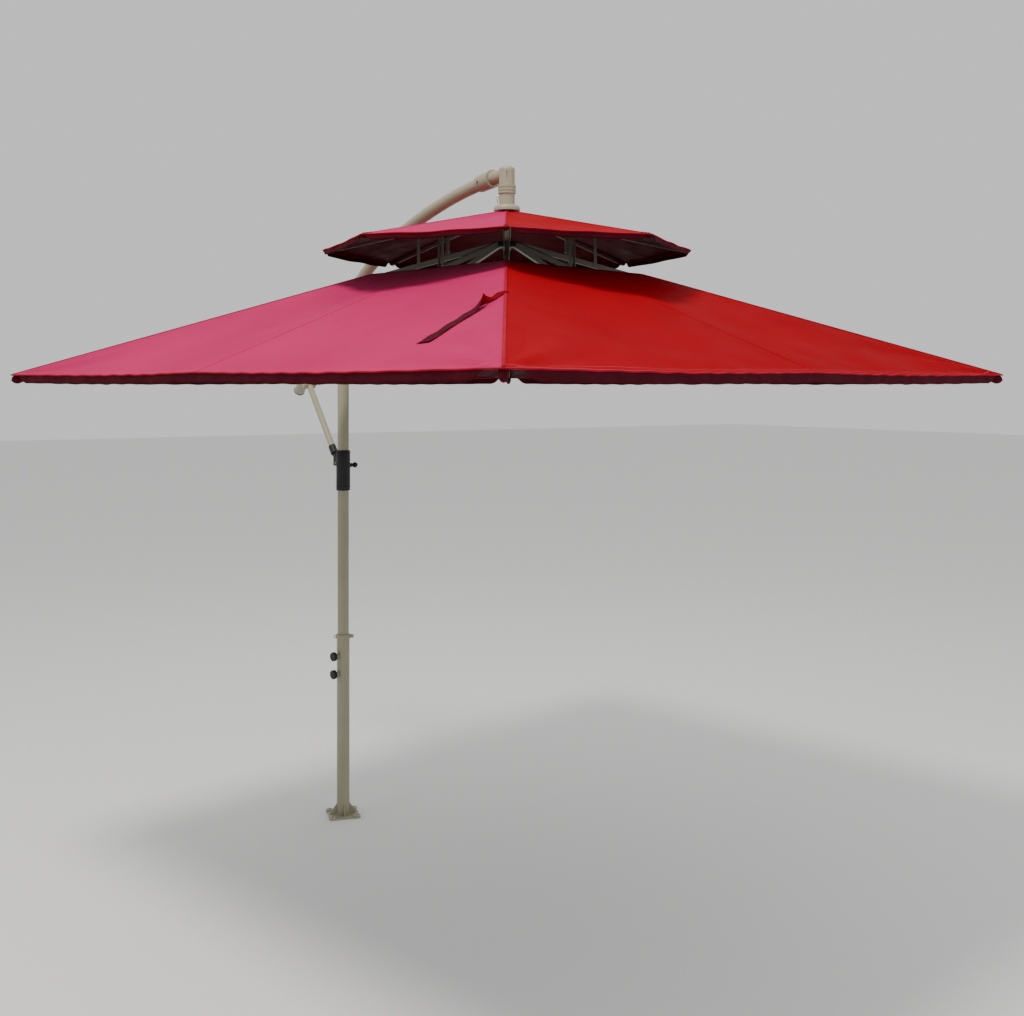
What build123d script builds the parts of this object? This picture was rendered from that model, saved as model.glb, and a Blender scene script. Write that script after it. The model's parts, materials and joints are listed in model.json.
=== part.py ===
"""Side-post patio umbrella: bolt-down base, mast, curved boom and a square two-tier folding canopy.

Row frame, millimetres: origin under the base plate on the mast axis, +Z up, +X from the mast to the
canopy hub. Ribs, struts and links are drawn in a radial plane (X out from the hub axis, Z up).
"""
from build123d import *

import os
from math import asin, atan, atan2, cos, degrees, hypot, radians, sin, sqrt, tan

# clearances
MOVE_GAP = 0.3          # between solids that move on each other
SEAT_GAP = 0.05         # radial, between pieces that are fixed together
SIDE_GAP = 0.5          # beside a rib inside its fork

# base plate
PLATE_SIDE = 134.0
PLATE_THICK = 8.0
PLATE_CORNER_R = 16.0
PLATE_TURN = -17.0
BOLT_PCD = 150.0
BOLT_HOLE_R = 6.5
EAR_R = 17.0
BOSS_RISE = 4.0
GUSSET_REACH = 32.0
GUSSET_HEIGHT = 45.0
GUSSET_THICK = 5.0

# base pole and collar
POLE_WALL = 2.6
POLE_TOP_Z = 801.0
MAST_INSERT = 305.0
STOP_THICK = 6.0
COLLAR_WALL = 4.5
COLLAR_HEIGHT = 16.0
COLLAR_LAP = 6.0
LUG_TURN = 57.0
LUG_SIZE = 16.0
LUG_BOLT_R = 3.0
HOOK_TURN = 265.0
HOOK_R = 6.0
HOOK_WIRE_R = 1.6

# knobs
KNOB_TURN = -80.0
KNOB_ZS = (717.0, 637.0)
KNOB_R = 20.0
KNOB_THICK = 16.0
KNOB_LOBES = 6
KNOB_SCALLOP_R = 6.0
STEM_R = 4.0
BOSS_R = 9.0
BOSS_LENGTH = 12.0
BALL_R = 12.5

# mast and yoke
MAST_R = 25.4
MAST_WALL = 2.5
POLE_BORE_GAP = 0.5
BUSH_HEIGHT = 10.0
PIVOT_Z = 2272.0
YOKE_WALL = 5.55
YOKE_TOP = 3.0
YOKE_HEIGHT = 90.0
CHEEK_THICK = 5.0
CHEEK_HALF = 20.0
CHEEK_GAP = 1.2
PIVOT_BOLT_R = 6.0
BOLT_HEAD_R = 9.5
BOLT_HEAD_THICK = 7.0

# boom, from its tail up to the hub
BOOM_R = 25.0
BOOM_WALL = 2.0
TAIL_ANGLE = 36.7
KNEE_ANGLE = 17.0
END_ANGLE = 4.0
KNEE_R = 1780.0
TAIL_LENGTH = 613.0
STRUT_PIVOT_BACK = 509.0
BOOM_TILT = 20.0
CAP_THICK = 10.0
CAP_LIP = 2.0
SOCKET_WALL = 8.0
SOCKET_LENGTH = 66.0
SOCKET_REACH = 110.0
CROSS_BUSH_WALL = 4.0
HEM_TO_MAST = 110.0     # from the mast's axis to the hem's nearest reach

# brace strut and slider
STRUT_LENGTH = 512.0
STRUT_R = 14.0
STRUT_WALL = 1.5
FORK_BACK = 14.0
FORK_BRIDGE = 48.0
BRIDGE_THICK = 12.0
FORK_THICK = 4.0
PLUG_LENGTH = 30.0
STRUT_BOLT_R = 5.0
STRUT_SOCKET_WALL = 3.0
STRUT_SOCKET_START = 40.0
STRUT_SOCKET_END = 82.0
TONGUE_HALF = 8.0
TONGUE_R = 10.0
SLIDER_WALL = 5.3
SLIDER_BELOW = 132.0
SLIDER_ABOVE = 48.0
SLIDER_PIN_OUT = 32.0
SLIDER_EAR_THICK = 5.0
SLIDER_EAR_R = 13.0
SLIDER_KNOB_DROP = 20.0
SLIDER_KNOB_OUT = 27.0

# elbow, neck and cap, as drops below the elbow top
ELBOW_WALL = 14.0
ELBOW_DOME = 14.0
ELBOW_RISE = 32.0
ELBOW_HEIGHT = 69.0
NECK_COLLAR_LIP = 4.0
NECK_COLLAR_HEIGHT = 29.0
NECK_GROOVE = 2.0
NECK_WALL = 14.0
NECK_HEIGHT = 41.0
CAP_DISC_LIP = 19.0
CAP_DISC_HEIGHT = 20.0
CENTRE_R = 14.0
CENTRE_WALL = 2.0
CENTRE_SINK = 48.0
RING_TURN = 237.0
RING_R = 9.0
KEYWAY_WIDTH = 4.0
KEYWAY_DEPTH = 3.0
KEYWAY_LENGTH = 24.0
KEYWAY_DROP = 32.0
RING_WIRE_R = 1.6
NECK_PIN_R = 3.0

# canopy cloth
CLOTH = 2.0
CANOPY_TURN = 12.0
HALF_SIDE = 1250.0
CAP_SEAT_GAP = 0.656    # between the finial cap and the upper canopy
UPPER_TO_APEX = 94.0
CANOPY_DROP = 493.0
UPPER_R = 656.0
UPPER_DROP = 142.0
VENT_R = 475.0
VALANCE = 30.0
VALANCE_SHORT = 60.0
CROWN_HOLE_GAP = 2.0
STRAP_WIDTH = 38.0
STRAP_LENGTH = 365.0
STRAP_THICK = 2.0
STRAP_R = 1000.0
STRAP_SWING = 9.7
STRAP_GAP = 1.0

# ribs
RIB_WIDTH = 14.0
RIB_HEIGHT = 18.0
RIB_SET_IN = 13.0
RIB_DROP = 1.5
TIP_LENGTH = 24.0
UPPER_RIB_WIDTH = 10.0
UPPER_RIB_HEIGHT = 12.0
UPPER_SET_IN = 14.0
HUB_CORE_WALL = 16.0
HINGE_OUT = 15.0
HUB_HALF = 9.0
CROWN_TOP = 4.0
CROWN_BELOW = 7.0
HUB_EAR_THICK = 3.0
HUB_EAR_OUT = 8.0
HUB_PIN_R = 3.0
CROWN_PIN_R = 2.5
CLOSED_ANGLE = 80.0
LINK_R = 315.0
LINK_HALF = 5.0
LINK_THICK = 3.0
LINK_PIN_R = 2.0
TAB_R = 6.0
RIB_PIVOT_LENGTH = 620.0
STRUT_BAR = 12.0
STRUT_PIN_R = 3.0
FORK_LENGTH = 80.0
FORK_BLOCK = 18.0
FORK_OVERHANG = 8.0
BAR_OVERHANG = 6.0
RUNNER_BORE_GAP = 3.0
RUNNER_EAR_BELOW = 14.0
RUNNER_EAR_ABOVE = 10.0

RIB_COUNT = 8
STEPS = 24

# radii that follow the tubes that they fit
POLE_R = MAST_R + POLE_BORE_GAP + POLE_WALL
COLLAR_R = POLE_R + COLLAR_WALL
YOKE_R = max(MAST_R + SEAT_GAP + YOKE_WALL, BOOM_R + CHEEK_GAP + CHEEK_THICK - 0.2)
CROSS_BUSH_R = PIVOT_BOLT_R + CROSS_BUSH_WALL
CAP_R = BOOM_R + CAP_LIP
SOCKET_R = BOOM_R + SOCKET_WALL
STRUT_SOCKET_R = STRUT_R + STRUT_SOCKET_WALL
SLIDER_R = MAST_R + MOVE_GAP + SLIDER_WALL
SLIDER_PIN_X = SLIDER_R + SLIDER_PIN_OUT
SLIDER_KNOB_Y = SLIDER_R + SLIDER_KNOB_OUT
ELBOW_R = CENTRE_R + ELBOW_WALL
NECK_R = CENTRE_R + NECK_WALL
NECK_COLLAR_R = ELBOW_R + NECK_COLLAR_LIP
CAP_DISC_R = NECK_R + CAP_DISC_LIP
HUB_CORE_R = CENTRE_R + HUB_CORE_WALL
HINGE_R = HUB_CORE_R + HINGE_OUT
RUNNER_BORE_R = CENTRE_R + RUNNER_BORE_GAP


def boom_arc(start, angle_from, angle_to, radius):
    """End point of an arc that starts at a rising angle and flattens."""
    a = radians(angle_from)
    b = radians(angle_to)
    return (start[0] + radius * (sin(a) - sin(b)), start[1] + radius * (cos(b) - cos(a)))


# derived places, as (x, z) in the boom's plane
PIVOT = (0.0, PIVOT_Z)
KNEE = boom_arc(PIVOT, TAIL_ANGLE, KNEE_ANGLE, KNEE_R)
HUB_X = HALF_SIDE + HEM_TO_MAST
SWEEP_R = (HUB_X - SOCKET_REACH - KNEE[0]) / (sin(radians(KNEE_ANGLE)) - sin(radians(END_ANGLE)))
BOOM_END = boom_arc(KNEE, KNEE_ANGLE, END_ANGLE, SWEEP_R)
ELBOW_TOP_Z = BOOM_END[1] + ELBOW_RISE
COLLAR_TOP_Z = ELBOW_TOP_Z - ELBOW_HEIGHT
NECK_TOP_Z = COLLAR_TOP_Z - NECK_COLLAR_HEIGHT
CAP_TOP_Z = NECK_TOP_Z - NECK_HEIGHT
CAP_FOOT_Z = CAP_TOP_Z - CAP_DISC_HEIGHT
CROWN_HOLE_R = (CENTRE_R + CROWN_HOLE_GAP) * 1.2
UPPER_SLOPE = UPPER_DROP / UPPER_R
UPPER_APEX_Z = CAP_FOOT_Z + UPPER_SLOPE * CROWN_HOLE_R - CAP_SEAT_GAP
APEX_Z = UPPER_APEX_Z - UPPER_TO_APEX
HEM_Z = APEX_Z - CANOPY_DROP
CORNER_R = HALF_SIDE * sqrt(2)
MAST_BASE_Z = POLE_TOP_Z - MAST_INSERT
MAST_TOP_Z = PIVOT_Z - (YOKE_R * tan(radians(TAIL_ANGLE + BOOM_TILT))
                        + BOOM_R / cos(radians(TAIL_ANGLE + BOOM_TILT))) - FORK_THICK * 2
STEM_TIP_R = MAST_R + MOVE_GAP


def along_tail(distance):
    """Point on the boom's straight tail, a distance behind the pivot."""
    a = radians(TAIL_ANGLE)
    return (PIVOT[0] - distance * cos(a), PIVOT[1] - distance * sin(a))


STRUT_TOP = along_tail(STRUT_PIVOT_BACK)
STRUT_FOOT = (-SLIDER_PIN_X,
              STRUT_TOP[1] - sqrt(STRUT_LENGTH ** 2 - (STRUT_TOP[0] + SLIDER_PIN_X) ** 2))
STRUT_ANGLE = degrees(atan2(STRUT_TOP[1] - STRUT_FOOT[1], STRUT_FOOT[0] - STRUT_TOP[0]))


def turned(point, centre, angle):
    """A point of the boom's plane turned about a centre; positive lifts the +X side."""
    a = radians(angle)
    x = point[0] - centre[0]
    z = point[1] - centre[1]
    return (centre[0] + x * cos(a) - z * sin(a), centre[1] + x * sin(a) + z * cos(a))


def brace_pose(tilt):
    """Exact slider drop and strut turn against the boom at a boom tilt."""
    top = turned(STRUT_TOP, PIVOT, tilt)
    foot_z = top[1] - sqrt(STRUT_LENGTH ** 2 - (top[0] + SLIDER_PIN_X) ** 2)
    angle = degrees(atan2(top[1] - foot_z, -SLIDER_PIN_X - top[0]))
    return STRUT_FOOT[1] - foot_z, (STRUT_ANGLE - angle) - tilt


BRACE_DROP, BRACE_TURN = brace_pose(BOOM_TILT)


def brace_miss(tilt):
    """Where the strut's foot pin stands in the slider's ears with both ratios constant."""
    share = tilt / BOOM_TILT
    top = turned(STRUT_TOP, PIVOT, tilt)
    foot = (top[0] + STRUT_FOOT[0] - STRUT_TOP[0], top[1] + STRUT_FOOT[1] - STRUT_TOP[1])
    foot = turned(foot, top, tilt + BRACE_TURN * share)
    return foot[0] - STRUT_FOOT[0], foot[1] - (STRUT_FOOT[1] - BRACE_DROP * share)


BRACE_MISSES = [brace_miss(BOOM_TILT * i / STEPS) for i in range(STEPS + 1)]


def rib_is_corner(index):
    return index % 2 == 0


def rib_azimuth(index):
    """Rib 0 is the corner at -33 degrees; the rest follow every 45 degrees."""
    return CANOPY_TURN - 45.0 + 45.0 * index


def rib_reach(index):
    return CORNER_R if rib_is_corner(index) else HALF_SIDE


def canopy_z(index, r):
    """Top of the lower canopy over a rib."""
    return APEX_Z - CANOPY_DROP * r / rib_reach(index)


RIB_TIP = {}
RIB_ANGLE = {}
MID_SLOPE = CANOPY_DROP / HALF_SIDE
MID_SLANT = sqrt(1 + MID_SLOPE ** 2)
HUB_Z = APEX_Z - MID_SLOPE * HINGE_R - (CLOTH + RIB_DROP + RIB_HEIGHT / 2) * MID_SLANT
CROWN_Z = (UPPER_APEX_Z - UPPER_SLOPE * HINGE_R
           - (CLOTH + RIB_DROP + UPPER_RIB_HEIGHT / 2) * sqrt(1 + UPPER_SLOPE ** 2))
for kind in (0, 1):
    tip_r = rib_reach(kind) - RIB_SET_IN
    slant = sqrt(1 + (CANOPY_DROP / rib_reach(kind)) ** 2)
    ridge_fall = RIB_WIDTH / 2 * MID_SLOPE * sin(radians(45)) if rib_is_corner(kind) else 0
    tip_z = canopy_z(kind, tip_r) - (CLOTH + RIB_DROP + RIB_HEIGHT / 2) * slant - ridge_fall
    RIB_TIP[kind] = (tip_r, tip_z)
    RIB_ANGLE[kind] = degrees(atan((HUB_Z - tip_z) / (tip_r - HINGE_R)))
FOLD = {kind: CLOSED_ANGLE - RIB_ANGLE[kind] for kind in (0, 1)}
RUNNER_OPEN = 2 * RIB_PIVOT_LENGTH * sin(radians(RIB_ANGLE[0]))
RUNNER_CLOSED = 2 * RIB_PIVOT_LENGTH * sin(radians(CLOSED_ANGLE))


def linkage(kind):
    """Rib length to the strut, strut length, and the strut's open and closed angles."""
    open_sine = sin(radians(RIB_ANGLE[kind]))
    closed_sine = sin(radians(CLOSED_ANGLE))
    rib = ((RUNNER_CLOSED ** 2 - RUNNER_OPEN ** 2)
           / (2 * (RUNNER_CLOSED * closed_sine - RUNNER_OPEN * open_sine)))
    strut = sqrt(rib ** 2 - 2 * rib * RUNNER_OPEN * open_sine + RUNNER_OPEN ** 2)
    open_angle = degrees(asin((RUNNER_OPEN - rib * open_sine) / strut))
    closed_angle = degrees(asin((RUNNER_CLOSED - rib * closed_sine) / strut))
    return rib, strut, open_angle, closed_angle


LINKAGE = {kind: linkage(kind) for kind in (0, 1)}


def on_rib(kind, distance):
    """Point on a rib's axis, a distance out from its hinge."""
    a = radians(RIB_ANGLE[kind])
    return (HINGE_R + distance * cos(a), HUB_Z - distance * sin(a))


def link_foot(kind):
    return on_rib(kind, (LINK_R - HINGE_R) / cos(radians(RIB_ANGLE[kind])))


def strut_pivot(kind):
    return on_rib(kind, LINKAGE[kind][0])


RUNNER_PIN = (HINGE_R, HUB_Z - RUNNER_OPEN)
LINK_LENGTH = CROWN_Z - HUB_Z


# shape helpers
def upright(radius, z_low, z_high, x=0.0, y=0.0):
    return Pos(x, y, (z_low + z_high) / 2) * Cylinder(radius, z_high - z_low)


def crosswise(radius, half, x, z):
    """Cylinder along Y, centred on the plane."""
    return Pos(x, 0, z) * Rot(90, 0, 0) * Cylinder(radius, 2 * half)


def plate(x, z, length, height, y_low, y_high):
    return Pos(x, (y_low + y_high) / 2, z) * Box(length, y_high - y_low, height)


def bar(start, end, width, height, before=0.0, after=0.0):
    """Straight bar in the XZ plane between two points, run on past each end."""
    length = hypot(end[0] - start[0], end[1] - start[1])
    drop = degrees(atan2(start[1] - end[1], end[0] - start[0]))
    body = Pos((length + after - before) / 2, 0, 0) * Box(length + before + after, width, height)
    return Pos(start[0], 0, start[1]) * Rot(0, drop, 0) * body


def rod(start, end, radius, from_start=0.0, to=None):
    """Round rod along the line between two points, from one distance to another."""
    length = hypot(end[0] - start[0], end[1] - start[1])
    stop = length if to is None else to
    drop = degrees(atan2(start[1] - end[1], end[0] - start[0]))
    body = Pos((from_start + stop) / 2, 0, 0) * Rot(0, 90, 0) * Cylinder(radius, stop - from_start)
    return Pos(start[0], 0, start[1]) * Rot(0, drop, 0) * body


def mirrored(shape):
    """A shape and its mirror across the XZ plane."""
    return shape + mirror(shape, Plane.XZ)


def slot(half_width, x, z_low, z_high, half):
    """Upright round-ended slot along Z that runs through along Y."""
    block = Pos(x, 0, (z_low + z_high) / 2) * Box(2 * half_width, 2 * half, z_high - z_low)
    return block + crosswise(half_width, half, x, z_low) + crosswise(half_width, half, x, z_high)


def at_rib(index, shape):
    return Pos(HUB_X, 0, 0) * Rot(0, 0, rib_azimuth(index)) * shape


def save(name, shape):
    solids = shape.solids()
    export_step(Compound(children=list(solids)), f"parts/{name}.step")


# base
def base_plate():
    body = Box(PLATE_SIDE, PLATE_SIDE, PLATE_THICK)
    body = fillet(body.edges().filter_by(Axis.Z), PLATE_CORNER_R)
    body = Pos(0, 0, PLATE_THICK / 2) * body
    gusset_face = Plane.XZ * Polygon((0, 0), (GUSSET_REACH, 0), (0, GUSSET_HEIGHT), align=None)
    gusset = Pos(POLE_R + SEAT_GAP, GUSSET_THICK / 2, PLATE_THICK) * extrude(gusset_face, GUSSET_THICK)
    for i in range(4):
        spoke = Rot(0, 0, 45 + 90 * i)
        boss = upright(EAR_R, 0, PLATE_THICK + BOSS_RISE, BOLT_PCD / 2)
        body += spoke * boss
        body += Rot(0, 0, 90 * i) * gusset
    for i in range(4):
        hole = upright(BOLT_HOLE_R, -1, PLATE_THICK + BOSS_RISE + 1, BOLT_PCD / 2)
        body -= Rot(0, 0, 45 + 90 * i) * hole
    body -= upright(POLE_R + SEAT_GAP, PLATE_THICK, PLATE_THICK + GUSSET_HEIGHT)
    return Rot(0, 0, PLATE_TURN) * body


def base_pole():
    bore = MAST_R + POLE_BORE_GAP
    body = upright(POLE_R, PLATE_THICK, POLE_TOP_Z)
    body -= upright(bore, MAST_BASE_Z - BUSH_HEIGHT - MOVE_GAP, POLE_TOP_Z + 1)
    floor_z = MAST_BASE_Z - BUSH_HEIGHT - MOVE_GAP - STOP_THICK
    body -= upright(bore, PLATE_THICK - 1, floor_z)
    for z in KNOB_ZS:
        nut = rod((POLE_R - 1, z), (POLE_R + BOSS_LENGTH, z), BOSS_R)
        body += Rot(0, 0, KNOB_TURN) * (nut - upright(bore, z - BOSS_R - 1, z + BOSS_R + 1))
    for z in KNOB_ZS:
        hole = rod((0, z), (POLE_R + BOSS_LENGTH + 1, z), STEM_R + MOVE_GAP)
        body -= Rot(0, 0, KNOB_TURN) * hole
    return body


def pole_collar():
    foot_z = POLE_TOP_Z - COLLAR_LAP
    top_z = foot_z + COLLAR_HEIGHT
    mid_z = (foot_z + top_z) / 2
    body = upright(COLLAR_R, foot_z, top_z)
    lug = Pos(COLLAR_R + LUG_SIZE / 2 - 3, 0, mid_z) * Box(LUG_SIZE, LUG_SIZE * 0.75, COLLAR_HEIGHT - 2)
    body += Rot(0, 0, LUG_TURN) * lug
    hook = Pos(COLLAR_R + HOOK_R - 1, 0, mid_z) * Rot(90, 0, 0) * Torus(HOOK_R, HOOK_WIRE_R)
    body += Rot(0, 0, HOOK_TURN) * hook
    body -= upright(POLE_R + SEAT_GAP, foot_z - 1, POLE_TOP_Z)
    body -= upright(MAST_R + POLE_BORE_GAP, foot_z - 1, top_z + 1)
    bolt_x = COLLAR_R + LUG_SIZE - 8
    across = LUG_SIZE * 0.375
    bolt = crosswise(LUG_BOLT_R, across + 4, bolt_x, mid_z)
    heads = crosswise(LUG_BOLT_R + 2.5, across + 4, bolt_x, mid_z)
    heads -= crosswise(LUG_BOLT_R + 3, across, bolt_x, mid_z)
    body -= Rot(0, 0, LUG_TURN) * crosswise(LUG_BOLT_R + SEAT_GAP, across + 1, bolt_x, mid_z)
    return Compound(children=[*body.solids(), *(Rot(0, 0, LUG_TURN) * (bolt + heads)).solids()])


def clamp_knob(z):
    seat = POLE_R + BOSS_LENGTH + 3
    head = rod((seat, z), (seat + KNOB_THICK, z), KNOB_R)
    head = fillet(head.edges().filter_by(GeomType.CIRCLE), 3)
    for i in range(KNOB_LOBES):
        a = radians(360 / KNOB_LOBES * i)
        reach = KNOB_R + KNOB_SCALLOP_R * 0.55
        cut = Pos(0, reach * cos(a), reach * sin(a)) * rod((seat - 1, z), (seat + KNOB_THICK + 1, z),
                                                         KNOB_SCALLOP_R)
        head -= cut
    stem = rod((STEM_TIP_R, z), (seat + 1, z), STEM_R)
    return Rot(0, 0, KNOB_TURN) * (head + stem)


# mast
def mast_tube():
    body = upright(MAST_R, MAST_BASE_Z, MAST_TOP_Z)
    return body - upright(MAST_R - MAST_WALL, MAST_BASE_Z - 1, MAST_TOP_Z + 1)


def mast_foot_bush():
    body = upright(MAST_R, MAST_BASE_Z - BUSH_HEIGHT, MAST_BASE_Z)
    body += upright(MAST_R - MAST_WALL - SEAT_GAP, MAST_BASE_Z - 1, MAST_BASE_Z + 2 * BUSH_HEIGHT)
    return body - upright(MAST_R / 2, MAST_BASE_Z - BUSH_HEIGHT - 1, MAST_BASE_Z + 3 * BUSH_HEIGHT)


def cheek_y():
    return BOOM_R + CHEEK_GAP


def mast_yoke():
    low = MAST_TOP_Z - YOKE_HEIGHT
    body = upright(YOKE_R, low, MAST_TOP_Z + YOKE_TOP)
    y = cheek_y()
    cheek = plate(0, (low + PIVOT_Z) / 2, 2 * CHEEK_HALF, PIVOT_Z - low, y, y + CHEEK_THICK)
    cheek += Pos(0, y + CHEEK_THICK / 2, PIVOT_Z) * Rot(90, 0, 0) * Cylinder(CHEEK_HALF, CHEEK_THICK)
    body += mirrored(cheek)
    body -= upright(MAST_R + SEAT_GAP, low - 1, MAST_TOP_Z)
    return body - crosswise(PIVOT_BOLT_R + SEAT_GAP, YOKE_R + 10, *PIVOT)


def through_bolt(radius, half, x, z):
    """Bolt along Y with a hex head and nut outside a stack of a half width."""
    head = Rot(90, 0, 0) * extrude(RegularPolygon(BOLT_HEAD_R, 6), BOLT_HEAD_THICK)
    head = Pos(x, half + BOLT_HEAD_THICK, z) * head
    shank = crosswise(radius, half + 1, x, z)
    return shank + mirrored(head)


def slider_body():
    low = STRUT_FOOT[1] - SLIDER_BELOW
    high = STRUT_FOOT[1] + SLIDER_ABOVE
    body = upright(SLIDER_R, low, high)
    body = fillet(body.edges().filter_by(GeomType.CIRCLE), 3)
    miss_low = min(dz for dx, dz in BRACE_MISSES) - 1
    miss_high = max(dz for dx, dz in BRACE_MISSES) + 1
    miss_side = max(abs(dx) for dx, dz in BRACE_MISSES)
    y = TONGUE_HALF + SIDE_GAP
    x = STRUT_FOOT[0]
    z = STRUT_FOOT[1]
    for way in (1, -1):
        low_y = y if way > 0 else -y - SLIDER_EAR_THICK
        ear = plate((x - SLIDER_EAR_R) / 2 - 6, z + (miss_low + miss_high) / 2,
                    -x + SLIDER_EAR_R - 12, miss_high - miss_low + 2 * SLIDER_EAR_R,
                    low_y, low_y + SLIDER_EAR_THICK)
        body += ear
    body -= slot(STRUT_BOLT_R + MOVE_GAP + miss_side, x, z + miss_low, z + miss_high, SLIDER_R)
    knob_z = z - SLIDER_KNOB_DROP
    nut = Rot(0, 0, 90) * rod((SLIDER_R - 2, knob_z), (SLIDER_R + BOSS_LENGTH, knob_z), BOSS_R)
    body += nut
    body -= upright(MAST_R + MOVE_GAP, low - 1, high + 1)
    hole = rod((0, knob_z), (SLIDER_R + BOSS_LENGTH + 1, knob_z), STEM_R + MOVE_GAP)
    return body - Rot(0, 0, 90) * hole


def slider_knob():
    z = STRUT_FOOT[1] - SLIDER_KNOB_DROP
    stem = rod((STEM_TIP_R, z), (SLIDER_KNOB_Y, z), STEM_R)
    return Rot(0, 0, 90) * (stem + Pos(SLIDER_KNOB_Y, 0, z) * Sphere(BALL_R))


# brace strut
def brace_strut():
    start = FORK_BRIDGE + BRIDGE_THICK
    stop = STRUT_LENGTH - STRUT_SOCKET_START - BRIDGE_THICK
    body = rod(STRUT_TOP, STRUT_FOOT, STRUT_R, start, stop)
    return body - rod(STRUT_TOP, STRUT_FOOT, STRUT_R - STRUT_WALL, start - 1, stop + 1)


def strut_fork():
    bridge_end = FORK_BRIDGE + BRIDGE_THICK
    y = cheek_y()
    cheek = bar(STRUT_TOP, STRUT_FOOT, FORK_THICK, 2 * STRUT_R, FORK_BACK, bridge_end - STRUT_LENGTH)
    body = mirrored(Pos(0, y + FORK_THICK / 2, 0) * cheek)
    body += bar(STRUT_TOP, STRUT_FOOT, 2 * y + 1, 2 * STRUT_R, -FORK_BRIDGE, bridge_end - STRUT_LENGTH)
    body += rod(STRUT_TOP, STRUT_FOOT, STRUT_R - STRUT_WALL - SEAT_GAP, bridge_end - 1,
                bridge_end + PLUG_LENGTH)
    body += through_bolt(STRUT_BOLT_R, y + FORK_THICK, *STRUT_TOP)
    return body


def strut_socket():
    start = STRUT_LENGTH - STRUT_SOCKET_END
    stop = STRUT_LENGTH - STRUT_SOCKET_START
    body = rod(STRUT_TOP, STRUT_FOOT, STRUT_SOCKET_R, start, stop)
    body -= rod(STRUT_TOP, STRUT_FOOT, STRUT_R + SEAT_GAP, start - 1, stop - BRIDGE_THICK)
    body += bar(STRUT_TOP, STRUT_FOOT, 2 * TONGUE_HALF, 2 * TONGUE_R, 1 - stop)
    body += crosswise(TONGUE_R, TONGUE_HALF, *STRUT_FOOT)
    return body + crosswise(STRUT_BOLT_R, TONGUE_HALF + SIDE_GAP + SLIDER_EAR_THICK, *STRUT_FOOT)


# boom
def arc_middle(start, angle_from, angle_to, radius):
    return boom_arc(start, angle_from, (angle_from + angle_to) / 2, radius)


def boom_path():
    def point(p):
        return (p[0], 0, p[1])
    tail = Line(point(along_tail(TAIL_LENGTH)), point(PIVOT))
    knee = ThreePointArc(point(PIVOT), point(arc_middle(PIVOT, TAIL_ANGLE, KNEE_ANGLE, KNEE_R)),
                         point(KNEE))
    sweep_arc = ThreePointArc(point(KNEE), point(arc_middle(KNEE, KNEE_ANGLE, END_ANGLE, SWEEP_R)),
                              point(BOOM_END))
    return Wire([tail.edge(), knee.edge(), sweep_arc.edge()])


def boom_tube():
    path = boom_path()
    start = path.location_at(0)
    section = Plane(origin=start.position, z_dir=path.tangent_at(0))
    body = sweep(section * Circle(BOOM_R), path=path)
    body -= sweep(section * Circle(BOOM_R - BOOM_WALL), path=path)
    for radius, (x, z) in ((CROSS_BUSH_R, PIVOT), (CROSS_BUSH_R, STRUT_TOP)):
        body -= crosswise(radius + SEAT_GAP, BOOM_R + 1, x, z)
    return body


def boom_bushes():
    """Cross bushes through the boom at the mast pivot and at the strut pivot."""
    main = crosswise(CROSS_BUSH_R, BOOM_R + 0.5, *PIVOT) - crosswise(PIVOT_BOLT_R + MOVE_GAP, 40, *PIVOT)
    tail = crosswise(CROSS_BUSH_R, BOOM_R + 0.5, *STRUT_TOP)
    return main, tail - crosswise(STRUT_BOLT_R + MOVE_GAP, 40, *STRUT_TOP)


def boom_tail_cap():
    end = along_tail(TAIL_LENGTH)
    out = along_tail(TAIL_LENGTH + CAP_THICK)
    body = rod(end, out, CAP_R)
    body = fillet(body.edges().filter_by(GeomType.CIRCLE), 3)
    plug = rod(along_tail(TAIL_LENGTH - 2 * CAP_THICK), end, BOOM_R - BOOM_WALL - SEAT_GAP)
    return body + plug


def elbow_fitting():
    foot_z = COLLAR_TOP_Z
    body = upright(ELBOW_R, foot_z, ELBOW_TOP_Z, HUB_X)
    body = fillet(body.edges().filter_by(GeomType.CIRCLE).sort_by(Axis.Z)[-1], ELBOW_DOME)
    a = radians(END_ANGLE)
    mouth = (BOOM_END[0] - SOCKET_LENGTH * cos(a), BOOM_END[1] - SOCKET_LENGTH * sin(a))
    inner = (BOOM_END[0] + 20 * cos(a), BOOM_END[1] + 20 * sin(a))
    hub = (HUB_X, BOOM_END[1] + (HUB_X - BOOM_END[0]) * tan(a))
    body += rod(mouth, inner, SOCKET_R)
    body += rod(inner, hub, ELBOW_R - 4)
    for cut in boom_socket_cuts():
        body -= cut
    body -= upright(CENTRE_R + SEAT_GAP, foot_z - 1, foot_z + CENTRE_SINK, HUB_X)
    keyway = Box(2 * KEYWAY_DEPTH, KEYWAY_WIDTH, KEYWAY_LENGTH)
    keyway = Pos(ELBOW_R, 0, ELBOW_TOP_Z - KEYWAY_DROP) * keyway
    body -= Pos(HUB_X, 0, 0) * Rot(0, 0, CANOPY_TURN - 45) * keyway
    return body


def boom_socket_cuts():
    """Room for the boom in the elbow's socket: its own last curve, a little larger."""
    path = boom_path()
    start = path.location_at(0)
    section = Plane(origin=start.position, z_dir=path.tangent_at(0))
    return [sweep(section * Circle(BOOM_R + 0.4), path=path)]


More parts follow.
